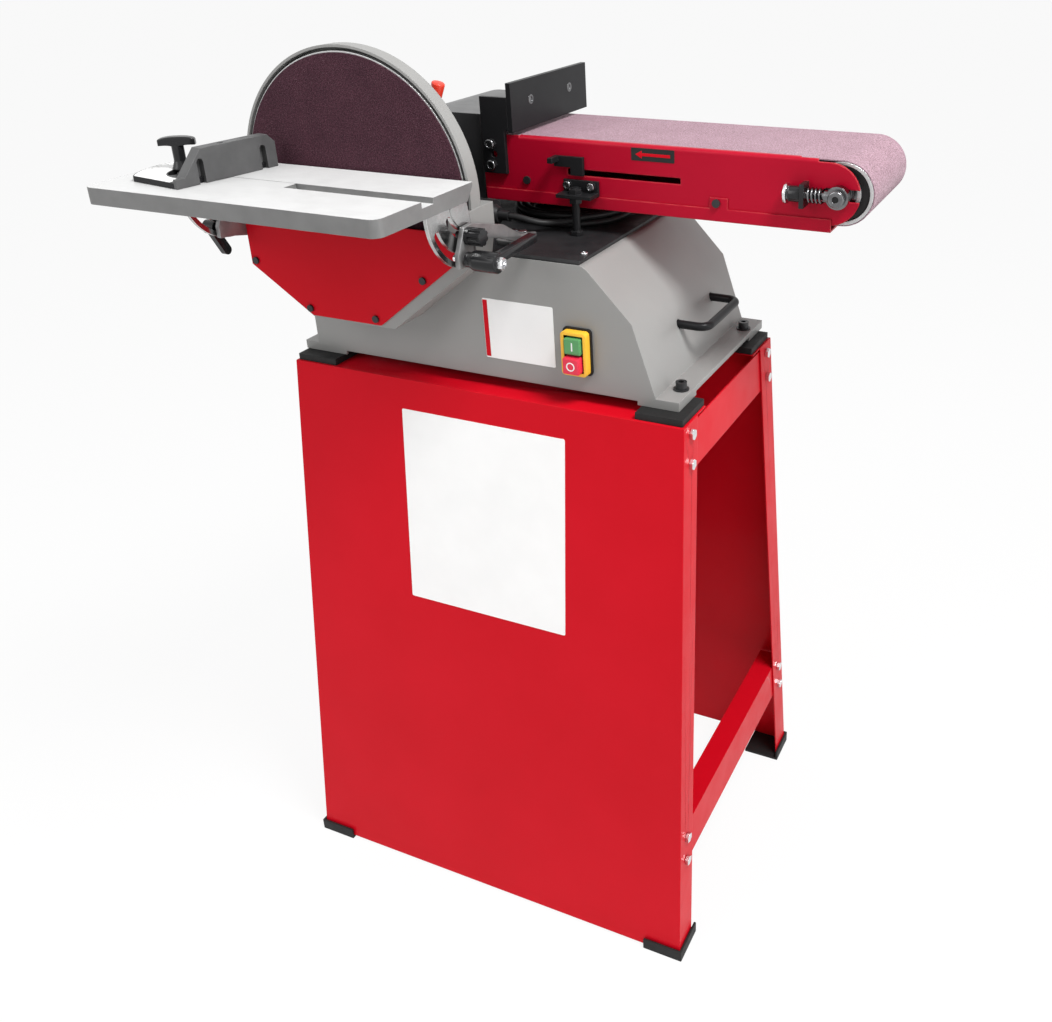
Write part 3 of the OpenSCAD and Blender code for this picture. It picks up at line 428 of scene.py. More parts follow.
def abrasive_grit(name, low, high, spark, sheen):
    """Bonded grain: dark pits between the grains, flecks, and a few bright sparks."""
    f = Finish(name)
    grain = f.cells(1500.0)
    streak = f.noise(26.0, 5.0, 0.6)
    tone = f.ramp(streak, (0.3, low), (0.7, high))
    tint = f.ramp(grain, (0.0, (0.55, 0.5, 0.52)), (0.55, (1.0, 1.0, 1.0)))
    tone = f.blend(1.0, tone, tint, "MULTIPLY")
    fleck = f.ramp(f.noise(620.0, 2.0, 0.7), (0.38, (0.6, 0.57, 0.58)), (0.62, (1.3, 1.28, 1.29)))
    tone = f.blend(1.0, tone, fleck, "MULTIPLY")
    glint = f.ramp(f.noise(2100.0, 1.0), (0.66, (0.0, 0.0, 0.0)), (0.74, (1.0, 1.0, 1.0)))
    f.colour(f.blend(glint, tone, spark))
    f.gloss(f.span(f.noise(1200.0), 0.55, 0.85))
    f.relief(grain, 0.0004, 0.8)
    f.put(Specular_IOR_Level=0.1, Sheen_Weight=sheen, Sheen_Roughness=0.35)
    return f.mat


def moulded(name, tone, deep, rough, shine=0.5):
    """Plain moulding; the caller takes its material or goes on with it."""
    f = Finish(name)
    f.put(Specular_IOR_Level=shine)
    f.colour(f.ramp(f.noise(24.0), (0.3, deep), (0.7, tone)))
    f.gloss(f.span(f.noise(75.0), rough - 0.06, rough + 0.08))
    f.relief(f.noise(1500.0, 2.0), 0.00006)
    return f


def charcoal_casting():
    """Dark grey cast fence with bare, lighter edges."""
    f = Finish("charcoal_casting")
    rim = f.soften(0.0012)
    body = f.ramp(f.noise(22.0, 4.0, 0.6), (0.3, (0.055, 0.055, 0.056)), (0.7, (0.09, 0.09, 0.091)))
    f.colour(f.blend(f.maths("MULTIPLY", rim, 0.7), body, (0.2, 0.2, 0.2)))
    f.gloss(f.span(f.noise(70.0), 0.42, 0.58))
    f.relief(f.noise(1000.0, 3.0, 0.6), 0.0001)
    return f.mat


def rubber_black():
    f = moulded("rubber_black", (0.014, 0.014, 0.014), (0.009, 0.009, 0.009), 0.62)
    f.relief(f.noise(420.0, 3.0), 0.00015)
    f.put(Specular_IOR_Level=0.25)
    return f.mat


def cord_rubber():
    f = moulded("cord_rubber", (0.02, 0.02, 0.021), (0.012, 0.012, 0.012), 0.48)
    f.put(Specular_IOR_Level=0.25)
    return f.mat


def sticker_foil():
    f = Finish("sticker_foil")
    f.colour(f.ramp(f.noise(14.0, 3.0), (0.3, (0.82, 0.82, 0.815)), (0.7, (0.86, 0.86, 0.855))))
    f.gloss(f.span(f.noise(40.0), 0.3, 0.4))
    f.relief(f.noise(60.0, 2.0), 0.00003)
    return f.mat


FINISH = {
    "red": red_enamel(),
    "arm_red": arm_enamel(),
    "grey": grey_enamel(),
    "wrinkle": black_wrinkle(),
    "black": black_enamel(),
    "zinc": bright_zinc(),
    "dark": dark_steel(),
    "oiled": oiled_steel(),
    "polished": polished_alloy(),
    "hood": hood_enamel(),
    "table": ground_alloy(),
    "alloy": cast_alloy("cast_alloy", 0.42, 0.54, 0.88),
    "rough_cast": cast_alloy("rough_cast_alloy", 0.2, 0.34, 0.55),
    "disc_grit": abrasive_grit("disc_grit", (0.05, 0.019, 0.029), (0.068, 0.026, 0.038),
                               (0.2, 0.12, 0.14), 0.0),
    "belt_grit": abrasive_grit("belt_grit", (0.345, 0.225, 0.265), (0.395, 0.265, 0.31),
                               (0.62, 0.51, 0.555), 0.1),
    "rubber": rubber_black(),
    "cord": cord_rubber(),
    "plastic": moulded("black_moulding", (0.021, 0.021, 0.022), (0.013, 0.013, 0.014), 0.36,
                       0.3).mat,
    "yellow": moulded("yellow_moulding", (0.9, 0.5, 0.035), (0.82, 0.44, 0.026), 0.38).mat,
    "green": moulded("green_moulding", (0.09, 0.31, 0.11), (0.075, 0.27, 0.09), 0.35).mat,
    "stop_red": moulded("stop_red_moulding", (0.72, 0.02, 0.06), (0.64, 0.014, 0.045), 0.35).mat,
    "tip": moulded("lever_tip_moulding", (0.75, 0.045, 0.02), (0.66, 0.035, 0.015), 0.35).mat,
    "charcoal": charcoal_casting(),
    "gloss": moulded("gloss_moulding", (0.015, 0.015, 0.016), (0.01, 0.01, 0.011), 0.19, 0.3).mat,
    "foil": sticker_foil(),
    "mark": moulded("white_mark", (0.82, 0.82, 0.81), (0.76, 0.76, 0.75), 0.45).mat,
    "ink": moulded("black_ink", (0.02, 0.02, 0.02), (0.014, 0.014, 0.014), 0.5, 0.2).mat,
    "motor": moulded("motor_enamel", (0.075, 0.085, 0.095), (0.06, 0.068, 0.076), 0.42).mat,
}

NODE_FINISH = {
    "red": ["front_panel", "rear_panel", "stand_rails", "front_cover"],
    "arm_red": ["arm_frame", "arm_cover"],
    "hood": ["drum_hood"],
    "polished": ["quadrants"],
    "oiled": ["tension_rod", "tension_spring", "idler_fork", "idler_bearings"],
    "grey": ["base_housing", "disc_housing"],
    "wrinkle": ["top_plate", "spindle_housing"],
    "black": ["carry_handle", "work_stop", "work_stop_bracket", "arm_stop", "miter_head",
              "tension_lever"],
    "charcoal": ["miter_fence"],
    "gloss": ["table_lock_lever", "left_lock_lever", "miter_knob", "table_lock_knob"],
    "zinc": ["stand_bolts", "spindle_bearings", "spindle_shaft", "motor_shaft", "motor_cradle",
             "bracket_bolts", "platen"],
    "dark": ["base_bolts", "cover_screws", "arm_screws"],
    "table": ["disc_table", "miter_bar"],
    "alloy": ["disc_plate", "trunnion_brackets", "drive_drum",
              "idler_drum", "spindle_pulley", "motor_pulley"],
    "disc_grit": ["abrasive_disc"],
    "belt_grit": ["abrasive_belt"],
    "rubber": ["foot_caps", "machine_pads", "drive_belt", "cord_gland"],
    "cord": ["cord_lead", "cord_coil", "cord_tail"],
    "plastic": ["arm_lock_lever", "cord_plug"],
    "yellow": ["switch_box"],
    "green": ["start_button"],
    "stop_red": ["stop_button"],
    "motor": ["motor"],
}
for finish, names in NODE_FINISH.items():
    for name in names:
        solids[name].data.materials.clear()
        solids[name].data.materials.append(FINISH[finish])


# Mains cord: out of its gland, wound on the top plate, then to its plug

def cord_route():
    """Points of the cord: lead, a lower layer wound in, a climb, an upper layer wound out, tail."""
    mid_x, mid_y = 30, 204
    coil_r, pitch, lift, turns, climb = 72.0, 9.1, 8.4, 2.3125, 0.5
    per_turn = 24
    low = PLATE_TOP + 3.85
    whole = 2 * turns + climb

    def coil_point(t):
        drop = t if t < turns else turns if t < turns + climb else whole - t
        r = coil_r - pitch * drop
        a = 2 * math.pi * t
        z = low + lift * max(0.0, min(1.0, (t - turns) / climb))
        return (mid_x + r * math.cos(a), mid_y - r * math.sin(a), z)

    lead = [(108, 246, PLATE_TOP + 5), (107.4, 241, PLATE_TOP + 4.7), (107, 236, PLATE_TOP + 4.4),
            (106, 230, PLATE_TOP + 4.1), (105, 224, PLATE_TOP + 4), (102.3, 214, PLATE_TOP + 3.9)]
    steps = round(whole * per_turn)
    coil = [coil_point(i / per_turn) for i in range(steps + 1)]
    a = 2 * math.pi * whole
    ahead = (-math.sin(a), -math.cos(a))
    end = coil[-1]
    tail = [(end[0] + d * ahead[0], end[1] + d * ahead[1], end[2] - s)
            for d, s in ((8, 0.2), (16, 1.0), (26, 3.0))]
    tail += [(46, 118, PLATE_TOP + 10), (36, 110, PLATE_TOP + 11.4),
             (26, 105.4, PLATE_TOP + 14), (16, 103.4, PLATE_TOP + 16.4),
             (8, 102.4, PLATE_TOP + 17.3), (1, 102, PLATE_TOP + 17.5)]
    return [at(*p) for p in lead + coil + tail]


def mains_cord():
    """The cord as one curve with a round section."""
    route = cord_route()
    data = bpy.data.curves.new("mains_cord", "CURVE")
    data.dimensions = "3D"
    data.bevel_depth = 0.00375
    data.bevel_resolution = 4
    data.resolution_u = 3
    data.use_fill_caps = True
    line = data.splines.new("BEZIER")
    line.bezier_points.add(len(route) - 1)
    for knot, place in zip(line.bezier_points, route):
        knot.co = place
        knot.handle_left_type = "AUTO"
        knot.handle_right_type = "AUTO"
    cord = bpy.data.objects.new("mains_cord", data)
    scene.collection.objects.link(cord)
    data.materials.append(FINISH["cord"])
    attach(cord, "machine")
    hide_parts("cord_lead", "cord_coil", "cord_tail")


mains_cord()


# Modelling helps, all sizes in millimetres on the stand's own axes

def clear_pick():
    bpy.ops.object.select_all(action="DESELECT")


def take(piece):
    clear_pick()
    piece.select_set(True)
    bpy.context.view_layer.objects.active = piece


def edit(piece):
    take(piece)
    bpy.ops.object.mode_set(mode="EDIT")


def done():
    bpy.ops.object.mode_set(mode="OBJECT")


def block(name, low, high):
    """Box between two corners."""
    a, b = at(*low), at(*high)
    clear_pick()
    bpy.ops.mesh.primitive_cube_add(size=1, location=(a + b) / 2)
    piece = bpy.context.active_object
    piece.name = name
    piece.scale = b - a
    bpy.ops.object.transform_apply(location=True, rotation=True, scale=True)
    return piece


def rod(name, start, end, radius, sides=32):
    """Cylinder between the middles of its two ends."""
    a, b = at(*start), at(*end)
    clear_pick()
    bpy.ops.mesh.primitive_cylinder_add(
        vertices=sides, radius=radius / 1000, depth=(b - a).length, location=(a + b) / 2,
        rotation=(b - a).to_track_quat("Z", "Y").to_euler())
    piece = bpy.context.active_object
    piece.name = name
    bpy.ops.object.transform_apply(location=True, rotation=True, scale=True)
    return piece


def pick(kind, test):
    """Selects the points, edges or faces that pass the test, and nothing else."""
    piece = bpy.context.edit_object
    bpy.ops.mesh.select_mode(type=kind)
    bpy.ops.mesh.select_all(action="DESELECT")
    net = bmesh.from_edit_mesh(piece.data)
    for part in {"VERT": net.verts, "EDGE": net.edges, "FACE": net.faces}[kind]:
        part.select_set(bool(test(part)))
    bmesh.update_edit_mesh(piece.data)


def pick_faces(test):
    """Selects the faces whose middle and direction pass the test."""
    pick("FACE", lambda face: test(spot(face.calc_center_median()), face.normal))


def pick_edges(test):
    """Selects the edges whose two ends pass the test."""
    pick("EDGE", lambda edge: test(spot(edge.verts[0].co), spot(edge.verts[1].co)))


def pick_points(test):
    """Selects the points whose place passes the test."""
    pick("VERT", lambda point: test(spot(point.co)))


def pick_sharp():
    """Selects the edges where two faces meet at more than 30 degrees."""
    limit = math.radians(30)
    pick("EDGE", lambda edge: len(edge.link_faces) == 2 and edge.calc_face_angle() > limit)


def ease(width, steps=2):
    """Rounds the picked edges."""
    bpy.ops.mesh.bevel(offset=width / 1000, segments=steps, affect="EDGES", clamp_overlap=True)


def inset(thickness, depth=0):
    """Insets the picked faces; a minus depth presses them in."""
    bpy.ops.mesh.inset(thickness=thickness / 1000, depth=depth / 1000)


def draw_out(x, y, z):
    """Extrudes the picked faces."""
    bpy.ops.mesh.extrude_region_move(
        TRANSFORM_OT_translate={"value": (x / 1000, y / 1000, z / 1000)})


def slide(x, y, z):
    """Moves what is picked."""
    bpy.ops.transform.translate(value=(x / 1000, y / 1000, z / 1000))


def along(axis):
    """Test for edges that run along one axis."""
    return lambda a, b: (a - b).length > 0.01 and abs((a - b).normalized()[axis]) > 0.99


def across(axis):
    """Test for edges that lie square to one axis."""
    return lambda a, b: abs(a[axis] - b[axis]) < 0.01


def settle(piece, finish, body, slot, *nodes):
    """Gives a piece its finishes, smooth shading and body, and hides the nodes that it replaces.
    The slot is not used.
    """
    finishes = [finish] if isinstance(finish, str) else finish
    kept = [polygon.material_index for polygon in piece.data.polygons]
    piece.data.materials.clear()
    for name in finishes:
        piece.data.materials.append(FINISH[name])
    piece.data.polygons.foreach_set("material_index", kept)
    piece.data.name = piece.name
    take(piece)
    bpy.ops.object.shade_smooth_by_angle(angle=math.radians(32))
    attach(piece, body)
    if nodes:
        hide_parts(*nodes)


def paint_pick(index):
    """Gives the picked faces another of the piece's finishes."""
    piece = bpy.context.edit_object
    while len(piece.data.materials) <= index:
        piece.data.materials.append(None)
    piece.active_material_index = index
    bpy.ops.object.material_slot_assign()


def copy_of(piece, name, shift):
    """A second piece of the same form, moved in edit mode."""
    clear_pick()
    twin = piece.copy()
    twin.data = piece.data.copy()
    twin.name = name
    scene.collection.objects.link(twin)
    edit(twin)
    bpy.ops.mesh.select_all(action="SELECT")
    slide(*shift)
    done()
    return twin


def weld(name, *pieces):
    """Joins pieces into one."""
    clear_pick()
    for piece in pieces:
        piece.select_set(True)
    bpy.context.view_layer.objects.active = pieces[0]
    bpy.ops.object.join()
    pieces[0].name = name
    return pieces[0]


def turn(angle, axis, centre):
    """Turns what is picked, anticlockwise for a plus angle."""
    bpy.ops.transform.rotate(value=-math.radians(angle), orient_axis=axis,
                             center_override=at(*centre))


def plate(name, low, high, corner, steps):
    """Box with its four edges along Y rounded."""
    piece = block(name, low, high)
    edit(piece)
    pick_edges(along(1))
    ease(corner, steps)
    done()
    return piece


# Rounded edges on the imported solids

def ease_solid(name, width):
    """Rounds the sharp edges of a solid that stays as it is packed."""
    solid = solids[name]
    join = solid.modifiers.new("join", "WELD")
    join.merge_threshold = 0.00002
    bevel = solid.modifiers.new("ease", "BEVEL")
    bevel.width = width / 1000
    bevel.segments = 2
    bevel.limit_method = "ANGLE"
    bevel.angle_limit = math.radians(35)
    shade = solid.modifiers.new("shade", "WEIGHTED_NORMAL")
    shade.mode = "FACE_AREA"
    shade.weight = 100


# Bare plates

def stand_sticker():
    """Bare sticker that leans with the front panel."""
    stand_top, spread = 728, 75
    piece = plate("stand_sticker", (-105, -0.35, 434), (118, 0.05, 690), 2, 3)
    edit(piece)
    bpy.ops.mesh.select_all(action="SELECT")
    turn(-math.degrees(math.atan(spread / stand_top)), "X", (0, 0, stand_top))
    done()
    settle(piece, "foil", "machine", "grey_paint")


def rating_plate():
    """Bare plate on the base with a plain red bar."""
    piece = plate("rating_plate", (6, 21.55, 765), (97, 22.05, 837), 1.5, 3)
    settle(piece, "foil", "machine", "grey_paint")
    strip = plate("rating_strip", (6.4, 21.4, 766.6), (12.4, 21.6, 835.4), 0.8, 2)
    settle(strip, "red", "machine", "red_paint")


def arrow_plate():
    """Black plate on the arm with an arrow for the way the belt runs."""
    back = plate("arrow_plate", (147, 128.7, 981), (199, 129.05, 995), 0.8, 2)
    settle(back, "ink", "arm", "black_paint")
    shaft = block("arrow_mark", (160, 128.5, 986.3), (194, 128.72, 989.7))
    edit(shaft)
    pick_faces(lambda m, n: n.x < -0.9)
    draw_out(-0.2, 0, 0)
    bpy.ops.transform.resize(value=(1, 1, 2.6))
    draw_out(-7.5, 0, 0)
    bpy.ops.transform.resize(value=(1, 1, 0.04))
    done()
    settle(shaft, "red", "arm", "red_paint")


# Switch

def switch_shell():
    """Yellow frame with a dark well for the buttons, on a rubber seal."""
    left, right, front, back, low, high = 112, 143, 9, 19, 765, 816
    shell = plate("switch_shell", (left, front, low), (right, back, high), 4, 4)
    edit(shell)
    pick_faces(lambda m, n: n.y < -0.9)
    inset(3.6)
    inset(0.4, -1)
    inset(0, -8.6)
    pick_faces(lambda m, n: front + 0.6 < m.y < back - 0.1 and left + 1 < m.x < right - 1
               and low + 1 < m.z < high - 1)
    paint_pick(1)
    pick_edges(lambda a, b: max(a.y, b.y) < front + 0.1
               and (min(a.x, b.x) < left + 1.9 or max(a.x, b.x) > right - 1.9
                    or min(a.z, b.z) < low + 1.9 or max(a.z, b.z) > high - 1.9))
    ease(0.9, 2)
    done()
    settle(shell, ["yellow", "ink"], "machine", "yellow_plastic", "switch_box")
    seal = plate("switch_seal", (left - 2, back - 0.1, low - 2), (right + 2, 22, high + 2), 4.5, 4)
    settle(seal, "rubber", "machine", "rubber", "switch_box")


def button_cap(name, front, low, finish, body, slot, node):
    """Push button with rounded corners, a rounded rim and a slightly raised face."""
    mid, half_wide, half_high, corner = 127.5, 10, 9.5, 1.7

    def on_rim(p):
        out_x = max(abs(p.x - mid) - half_wide + corner, 0)
        out_z = max(abs(p.z - low - half_high) - half_high + corner, 0)
        return abs(p.y - front) < 0.01 and math.hypot(out_x, out_z) > corner - 0.1

    cap = plate(name, (mid - half_wide, front, low), (mid + half_wide, 15, low + 2 * half_high),
                corner, 3)
    edit(cap)
    pick_faces(lambda m, n: n.y < -0.9)
    inset(1)
    inset(0.4, 0.4)
    pick_edges(lambda a, b: on_rim(a) and on_rim(b))
    ease(0.7, 2)
    done()
    settle(cap, finish, body, slot, node)


def switch_buttons():
    """The start button with its bar and the stop button with its ring."""
    button_cap("start_cap", 6, 791, "green", "start", "green_plastic", "start_button")
    mark = plate("start_mark", (126.7, 5.45, 795.5), (128.3, 5.8, 805.5), 0.6, 3)
    settle(mark, "mark", "start", "green_plastic")
    button_cap("stop_cap", 1, 769.5, "stop_red", "stop", "red_plastic", "stop_button")
    ring = rod("stop_mark", (127.5, 0.8, 779), (127.5, 0.35, 779), 5.2, 40)
    edit(ring)
    pick_faces(lambda m, n: abs(n.y) > 0.9)
    inset(1.3)
    bpy.ops.mesh.bridge_edge_loops()
    done()
    settle(ring, "mark", "stop", "red_plastic")


# Screws and levers

def stop_screws():
    """Two countersunk screws in the work stop, seen on its right face."""
    y, z = 169, 1033
    screw = rod("stop_screw_front", (-0.9, y, z), (0.25, y, z), 5.6, 28)
    edit(screw)
    pick_faces(lambda m, n: n.x > 0.9)
    inset(0.9)
    inset(1.6, -0.2)
    inset(0, -0.6)
    done()
    twin = copy_of(screw, "stop_screw_rear", (0, 95, 0))
    settle(screw, "oiled", "arm", "black_steel")
    settle(twin, "oiled", "arm", "black_steel")


def button_screw(name, x, y, z, radius, rise):
    """Domed screw head on a face that looks to the front, with a round recess."""
    head = rod(name, (x, y, z), (x, y - rise, z), radius, 36)
    edit(head)
    pick_edges(lambda a, b: max(a.y, b.y) < y - rise + 0.01)
    ease(min(rise, radius) * 0.7, 4)
    pick_faces(lambda m, n: n.y < -0.99)
    inset(0.6)
    inset(0.3, -1.2)
    done()
    return head


def bracket_screws():
    """Heads on the two small angle brackets of the arm."""
    low = button_screw("angle_screw_left", 68, 122, 948, 5.1, 2.2)
    low_twin = copy_of(low, "angle_screw_right", (30, 0, 0))
    high = button_screw("stop_bolt_upper", -30, 119.6, 988, 6.2, 2.8)
    high_twin = copy_of(high, "stop_bolt_lower", (0, 0, -24))
    for head in (low, low_twin, high, high_twin):
        settle(head, "oiled", "arm", "black_steel")


def tension_collar():
    """Washer, sleeve and spring seat on the tension rod, and the nut on the drum's axle."""
    y, z = TENSION_Y, SPIN_Z
    washer = rod("tension_washer", (328.4, y, z), (331.9, y, z), 11, 48)
    edit(washer)
    pick_edges(across(0))
    ease(0.8, 2)
    pick_faces(lambda m, n: n.x < -0.99)
    inset(3)
    inset(0.6, -0.5)
    done()
    settle(washer, "zinc", "idler_carriage", "zinc_steel")
    sleeve = rod("tension_sleeve", (333, y, z), (346.4, y, z), 8.4, 40)
    edit(sleeve)
    pick_edges(across(0))
    ease(1.2, 3)
    pick_faces(lambda m, n: abs(n.x) > 0.99)
    inset(1.2, -0.4)
    done()
    settle(sleeve, "gloss", "idler_carriage", "black_steel")
    seat = block("spring_seat", (346.5, 109.3, 949.3), (351.6, 128.9, 974.7))
    edit(seat)
    pick_sharp()
    ease(0.5, 2)
    pick_faces(lambda m, n: abs(n.x) > 0.99)
    inset(2, -0.3)
    done()
    settle(seat, "gloss", "arm", "black_steel")
    nut_front = 108.4
    nut = rod("axle_nut", (IDLER_X, 110.9, z), (IDLER_X, nut_front, z), 8.6, 40)
    edit(nut)
    pick_edges(lambda a, b: max(a.y, b.y) < nut_front + 0.01)
    ease(1.6, 4)
    pick_faces(lambda m, n: n.y < -0.99)
    inset(3.5)
    inset(0.4, -1.5)
    paint_pick(1)
    done()
    settle(nut, ["oiled", "ink"], "idler_carriage", "black_steel")


def coil_spring():
    """Tension spring: a wire section screwed along the rod."""
    x, y, z = 353, TENSION_Y, SPIN_Z
    turns, pitch, wire, coil = 4, 4.1, 1.3, 7.3
    clear_pick()
    bpy.ops.mesh.primitive_circle_add(vertices=12, radius=wire / 1000, location=at(x, y, z))
    spring = bpy.context.active_object
    spring.name = "coil_spring"
    edit(spring)
    bpy.ops.mesh.select_all(action="SELECT")
    slide(0, coil, 0)
    done()
    screw = spring.modifiers.new("wind", "SCREW")
    screw.axis = "X"
    screw.screw_offset = pitch / 1000
    screw.iterations = turns
    screw.steps = screw.render_steps = 28
    bpy.ops.object.modifier_apply(modifier=screw.name)
    bpy.ops.object.transform_apply(location=True, rotation=True, scale=True)
    edit(spring)
    bpy.ops.mesh.select_mode(type="EDGE")
    bpy.ops.mesh.select_all(action="DESELECT")
    bpy.ops.mesh.select_non_manifold()
    bpy.ops.mesh.edge_face_add()
    bpy.ops.mesh.select_all(action="SELECT")
    bpy.ops.mesh.normals_make_consistent(inside=False)
    done()
    settle(spring, "oiled", "arm", "black_steel", "tension_spring")
    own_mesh(spring)


def idler_caps():
    """Black dished rings set in the ends of the front drum."""
    x, y, z = IDLER_X, 139, SPIN_Z
    front = rod("idler_cap_front", (x, y, z), (x, y + 4, z), 29.2, 64)
    edit(front)
    pick_faces(lambda m, n: abs(n.y) > 0.99)
    inset(8.8)
    bpy.ops.mesh.bridge_edge_loops()
    pick_edges(lambda a, b: max(a.y, b.y) < y + 0.01)
    ease(0.8, 2)
    done()
    rear = copy_of(front, "idler_cap_rear", (0, 142, 0))
    settle(front, "ink", "idler", "black_steel")
    settle(rear, "ink", "idler", "black_steel")


def plate_screw():
    """Domed screw in the top plate."""
    x, y, top = 124, 51, PLATE_TOP + 2.2
    head = rod("plate_screw", (x, y, PLATE_TOP), (x, y, top), 4.2, 24)
    edit(head)
    pick_edges(lambda a, b: min(a.z, b.z) > top - 0.1)
    ease(1.2, 3)
    pick_faces(lambda m, n: n.z > 0.99 and m.z > top - 0.1)
    inset(1.2)
    inset(0, -0.8)
    done()
    settle(head, "zinc", "machine", "zinc_steel")


def arm_lock_tip():
    """Coloured grip on the lever that holds the arm."""
    lean = math.radians(18)
    start, flare, end = 31, 44, 50
    foot = Vector((-84, 85, 1013))
    way = Vector((math.sin(lean), 0, math.cos(lean)))
    grip = rod("arm_lock_tip", foot + start * way, foot + end * way, 6.4, 24)
    edit(grip)
    pick_points(lambda p: (p - foot).dot(way) > flare)
    bpy.ops.transform.resize(value=(1.22, 1.22, 1.22))
    pick_edges(lambda a, b: min((a - foot).dot(way), (b - foot).dot(way)) > flare)
    ease(2.2, 3)
    done()
    settle(grip, "tip", "arm_lock", "red_plastic")


def lock_handle():
    """Clamping lever of the table: barrel hub, flat arm, and the bolt through both."""
    y, z = -58.521, 909.618
    hub = rod("lock_hub", (57, y, z), (84.3, y, z), 11, 40)
    edit(hub)
    pick_faces(lambda m, n: n.x < -0.9)
    draw_out(-6, 0, 0)
    bpy.ops.transform.resize(value=(1, 0.76, 0.76))
    draw_out(-4.6, 0, 0)
    pick_edges(across(0))
    ease(1.3, 3)
    done()
    arm = block("lock_arm", (75.3, y - 9, z + 1.6), (85.3, y + 78, z + 11.2))
    edit(arm)
    pick_points(lambda p: p.y < y)
    slide(0, 0, -2.5)
    pick_edges(along(0))
    ease(3, 4)
    pick_edges(across(0))
    ease(0.8, 2)
    done()
    settle(weld("lock_hub", hub, arm), "gloss", "lock_lever", "black_plastic", "table_lock_lever")
    stem = rod("lock_bolt", (31, y, z), (48, y, z), 4, 24)
    edit(stem)
    pick_faces(lambda m, n: n.x < -0.9)
    inset(0.6, 0.6)
    done()
    head = rod("lock_bolt_head", (84, y, z), (89.8, y, z), 7, 6)
    edit(head)
    pick_faces(lambda m, n: n.x > 0.9)
    inset(0.8, 0.5)
    inset(2.2)
    inset(0, -3)
    done()
    settle(weld("lock_bolt", stem, head), "zinc", "lock_lever", "zinc_steel", "table_lock_lever")


def outline_plate(name, x0, x1, outline):
    """Sheet across X: a blank with one corner per point, drawn out to its outline."""
    clear_pick()
    bpy.ops.mesh.primitive_circle_add(vertices=len(outline), radius=0.02, fill_type="NGON",
                                      location=at(x0, 0, 400), rotation=(0, math.pi / 2, 0))
    sheet = bpy.context.active_object
    sheet.name = name
    bpy.ops.object.transform_apply(location=True, rotation=True, scale=True)
    corners = [point.co.copy() for point in sheet.data.vertices]
    edit(sheet)
    for corner, (y, z) in zip(corners, outline):
        pick_points(lambda q: (q - spot(corner)).length < 0.1)
        bpy.ops.transform.translate(value=at(x0, y, z) - corner)
    bpy.ops.mesh.select_all(action="SELECT")
    draw_out(x1 - x0, 0, 0)
    bpy.ops.mesh.select_all(action="SELECT")
    bpy.ops.mesh.normals_make_consistent(inside=False)
    pick_sharp()
    ease(0.9, 2)
    done()
    return sheet


def table_brackets():
    """The two cast brackets that carry the table."""
    right = outline_plate("right_bracket", 38.5, 44, [
        (-70, 901.6), (-70, 915.6), (-56, 942.2), (-40, 943.2), (20, 926), (56, 905), (88, 900),
        (88, 893), (46, 893), (46, 899), (12, 913), (-40, 926), (-42, 903), (-48, 898.6)])
    foot = block("bracket_foot", (14, 46, PLATE_TOP), (38.5, 88, PLATE_TOP + 6))
    edit(foot)
    pick_edges(along(2))
    ease(4, 4)
    pick_sharp()
    ease(0.9, 2)
    done()
    settle(weld("right_bracket", right, foot), "rough_cast", "machine", "cast_alloy",
           "trunnion_brackets")
    left = outline_plate("left_bracket", -281.5, -276.2, [
        (-70, 901.6), (-70, 915.6), (-56, 940.2), (-40, 940.2), (14, 932), (14, 890), (-10, 890),
        (-48, 898.6)])
    settle(left, "rough_cast", "machine", "cast_alloy", "trunnion_brackets")


def wing_knob():
    """T-shaped clamp knob of the miter gauge on its flared neck."""
    x, y, z = -276, -105, 988
    neck = rod("wing_neck", (x, y, z + 9), (x, y, z + 26), 6.3, 32)
    edit(neck)
    pick_faces(lambda m, n: n.z < -0.9)
    draw_out(0, 0, -5)
    bpy.ops.transform.resize(value=(1.3, 1.3, 1))
    draw_out(0, 0, -3.7)
    bpy.ops.transform.resize(value=(1.2, 1.2, 1))
    pick_edges(lambda a, b: max(a.z, b.z) < z + 10 and abs(a.z - b.z) < 0.01)
    ease(0.8, 2)
    done()
    wing = block("wing_knob", (x - 19, y - 6, z + 23), (x + 19, y + 6, z + 34.5))
    edit(wing)
    bpy.ops.mesh.select_all(action="SELECT")
    bpy.ops.mesh.subdivide(number_cuts=3)
    pick_points(lambda p: abs(p.x - x) > 8 and p.z < z + 25)
    slide(0, 0, 3.4)
    pick_points(lambda p: abs(p.x - x) > 17)
    bpy.ops.transform.resize(value=(1, 0.8, 0.85), center_override=at(x, y, z + 29))
    slide(0, 0, -1.2)
    done()
    soft = wing.modifiers.new("soft", "SUBSURF")
    soft.levels = 2
    soft.render_levels = 2
    take(wing)
    bpy.ops.object.modifier_apply(modifier="soft")
    edit(wing)
    bpy.ops.mesh.select_all(action="SELECT")
    turn(33, "Z", (x, y, z))
    done()
    knob = weld("wing_knob", wing, neck)
    settle(knob, "gloss", "miter_clamp", "black_plastic", "miter_knob")


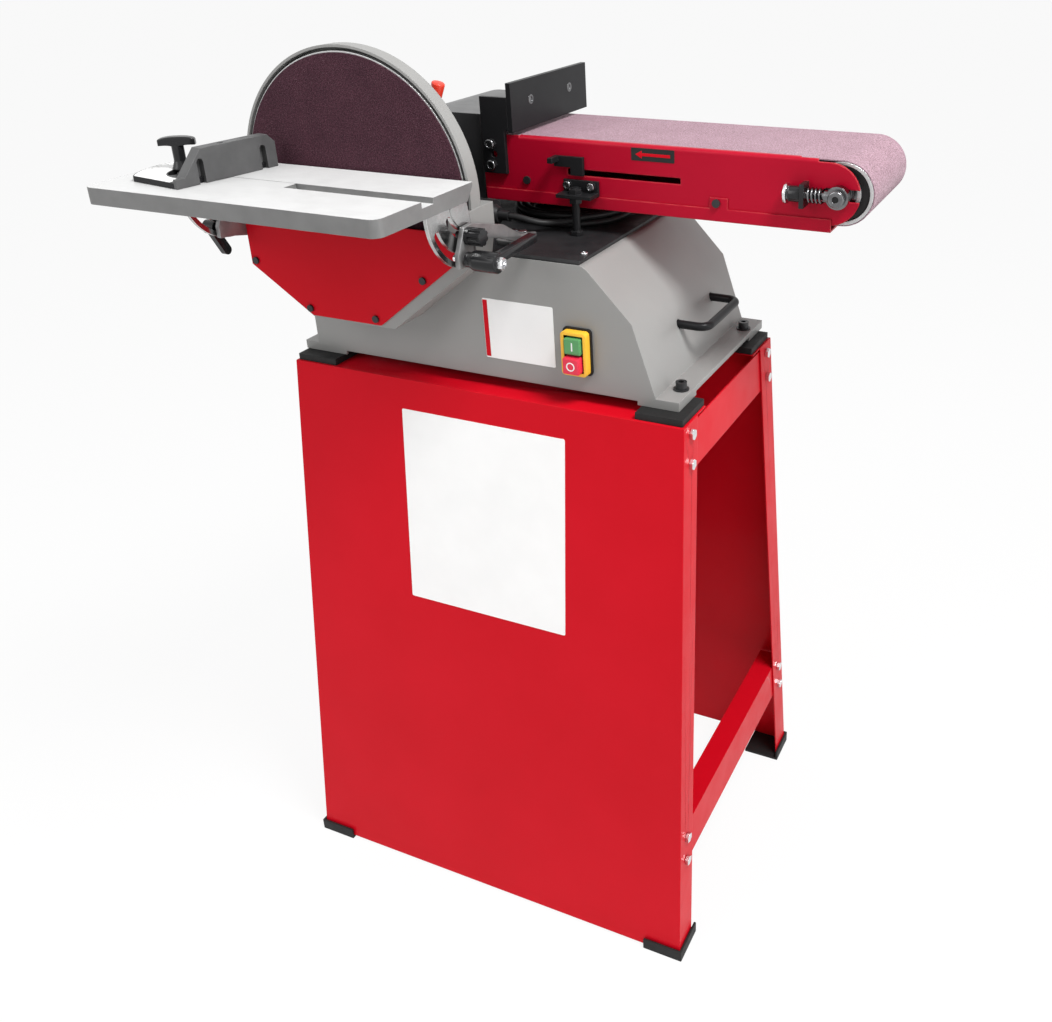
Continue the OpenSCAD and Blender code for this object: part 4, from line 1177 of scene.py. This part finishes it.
def miter_scale():
    """Pale scale on the protractor plate, with a mark every five degrees."""
    x, y, z = -245, -105, 988.0
    outer, inner_share = 68.8, 0.54
    count, zero, reach = 26, 16, 67.5
    clear_pick()
    bpy.ops.mesh.primitive_circle_add(vertices=96, radius=outer / 1000, location=at(x, y, z))
    film = bpy.context.active_object
    film.name = "miter_scale"
    bpy.ops.object.transform_apply(location=True, rotation=True, scale=True)
    edit(film)
    bpy.ops.mesh.select_all(action="SELECT")
    bpy.ops.mesh.extrude_edges_move(TRANSFORM_OT_translate={"value": (0, 0, 0)})
    bpy.ops.transform.resize(value=(inner_share, inner_share, 1), center_override=at(x, y, z))
    for side, cut_x, cut_y in (((1, 0, 0), 14, 0), ((0, -1, 0), 0, -52)):
        bpy.ops.mesh.select_all(action="SELECT")
        bpy.ops.mesh.bisect(plane_co=at(x + cut_x, y + cut_y, z), plane_no=side, clear_outer=True)
    bpy.ops.mesh.select_all(action="SELECT")
    bpy.ops.mesh.normals_make_consistent(inside=False)
    draw_out(0, 0, 0.2)
    bpy.ops.mesh.select_all(action="SELECT")
    bpy.ops.mesh.normals_make_consistent(inside=False)
    turn(-MITER_SET, "Z", (x, y, z))
    done()
    settle(film, "foil", "miter_gauge", "cast_alloy")
    marks = []
    for i in range(count):
        length = 7 if i % 4 == 0 else 5 if i % 2 == 0 else 3.2
        mark = block(f"miter_mark_{i}", (x - reach, y - 0.22, z + 0.15),
                     (x - reach + length, y + 0.22, z + 0.26))
        edit(mark)
        pick_faces(lambda m, n: n.z > 0.9)
        inset(0.05, 0.02)
        bpy.ops.mesh.select_all(action="SELECT")
        turn(5 * (i - zero) - MITER_SET, "Z", (x, y, z))
        done()
        marks.append(mark)
    settle(weld("miter_marks", *marks), "ink", "miter_gauge", "cast_alloy")


for name, width in (("front_panel", 1.2), ("rear_panel", 1.2), ("base_housing", 1.0),
                    ("disc_table", 0.9), ("foot_caps", 1.0), ("machine_pads", 0.8),
                    ("miter_fence", 0.9)):
    ease_solid(name, width)
stand_sticker()
rating_plate()
arrow_plate()
switch_shell()
switch_buttons()
stop_screws()
bracket_screws()
tension_collar()
coil_spring()
idler_caps()
table_brackets()
plate_screw()
arm_lock_tip()
lock_handle()
wing_knob()
miter_scale()
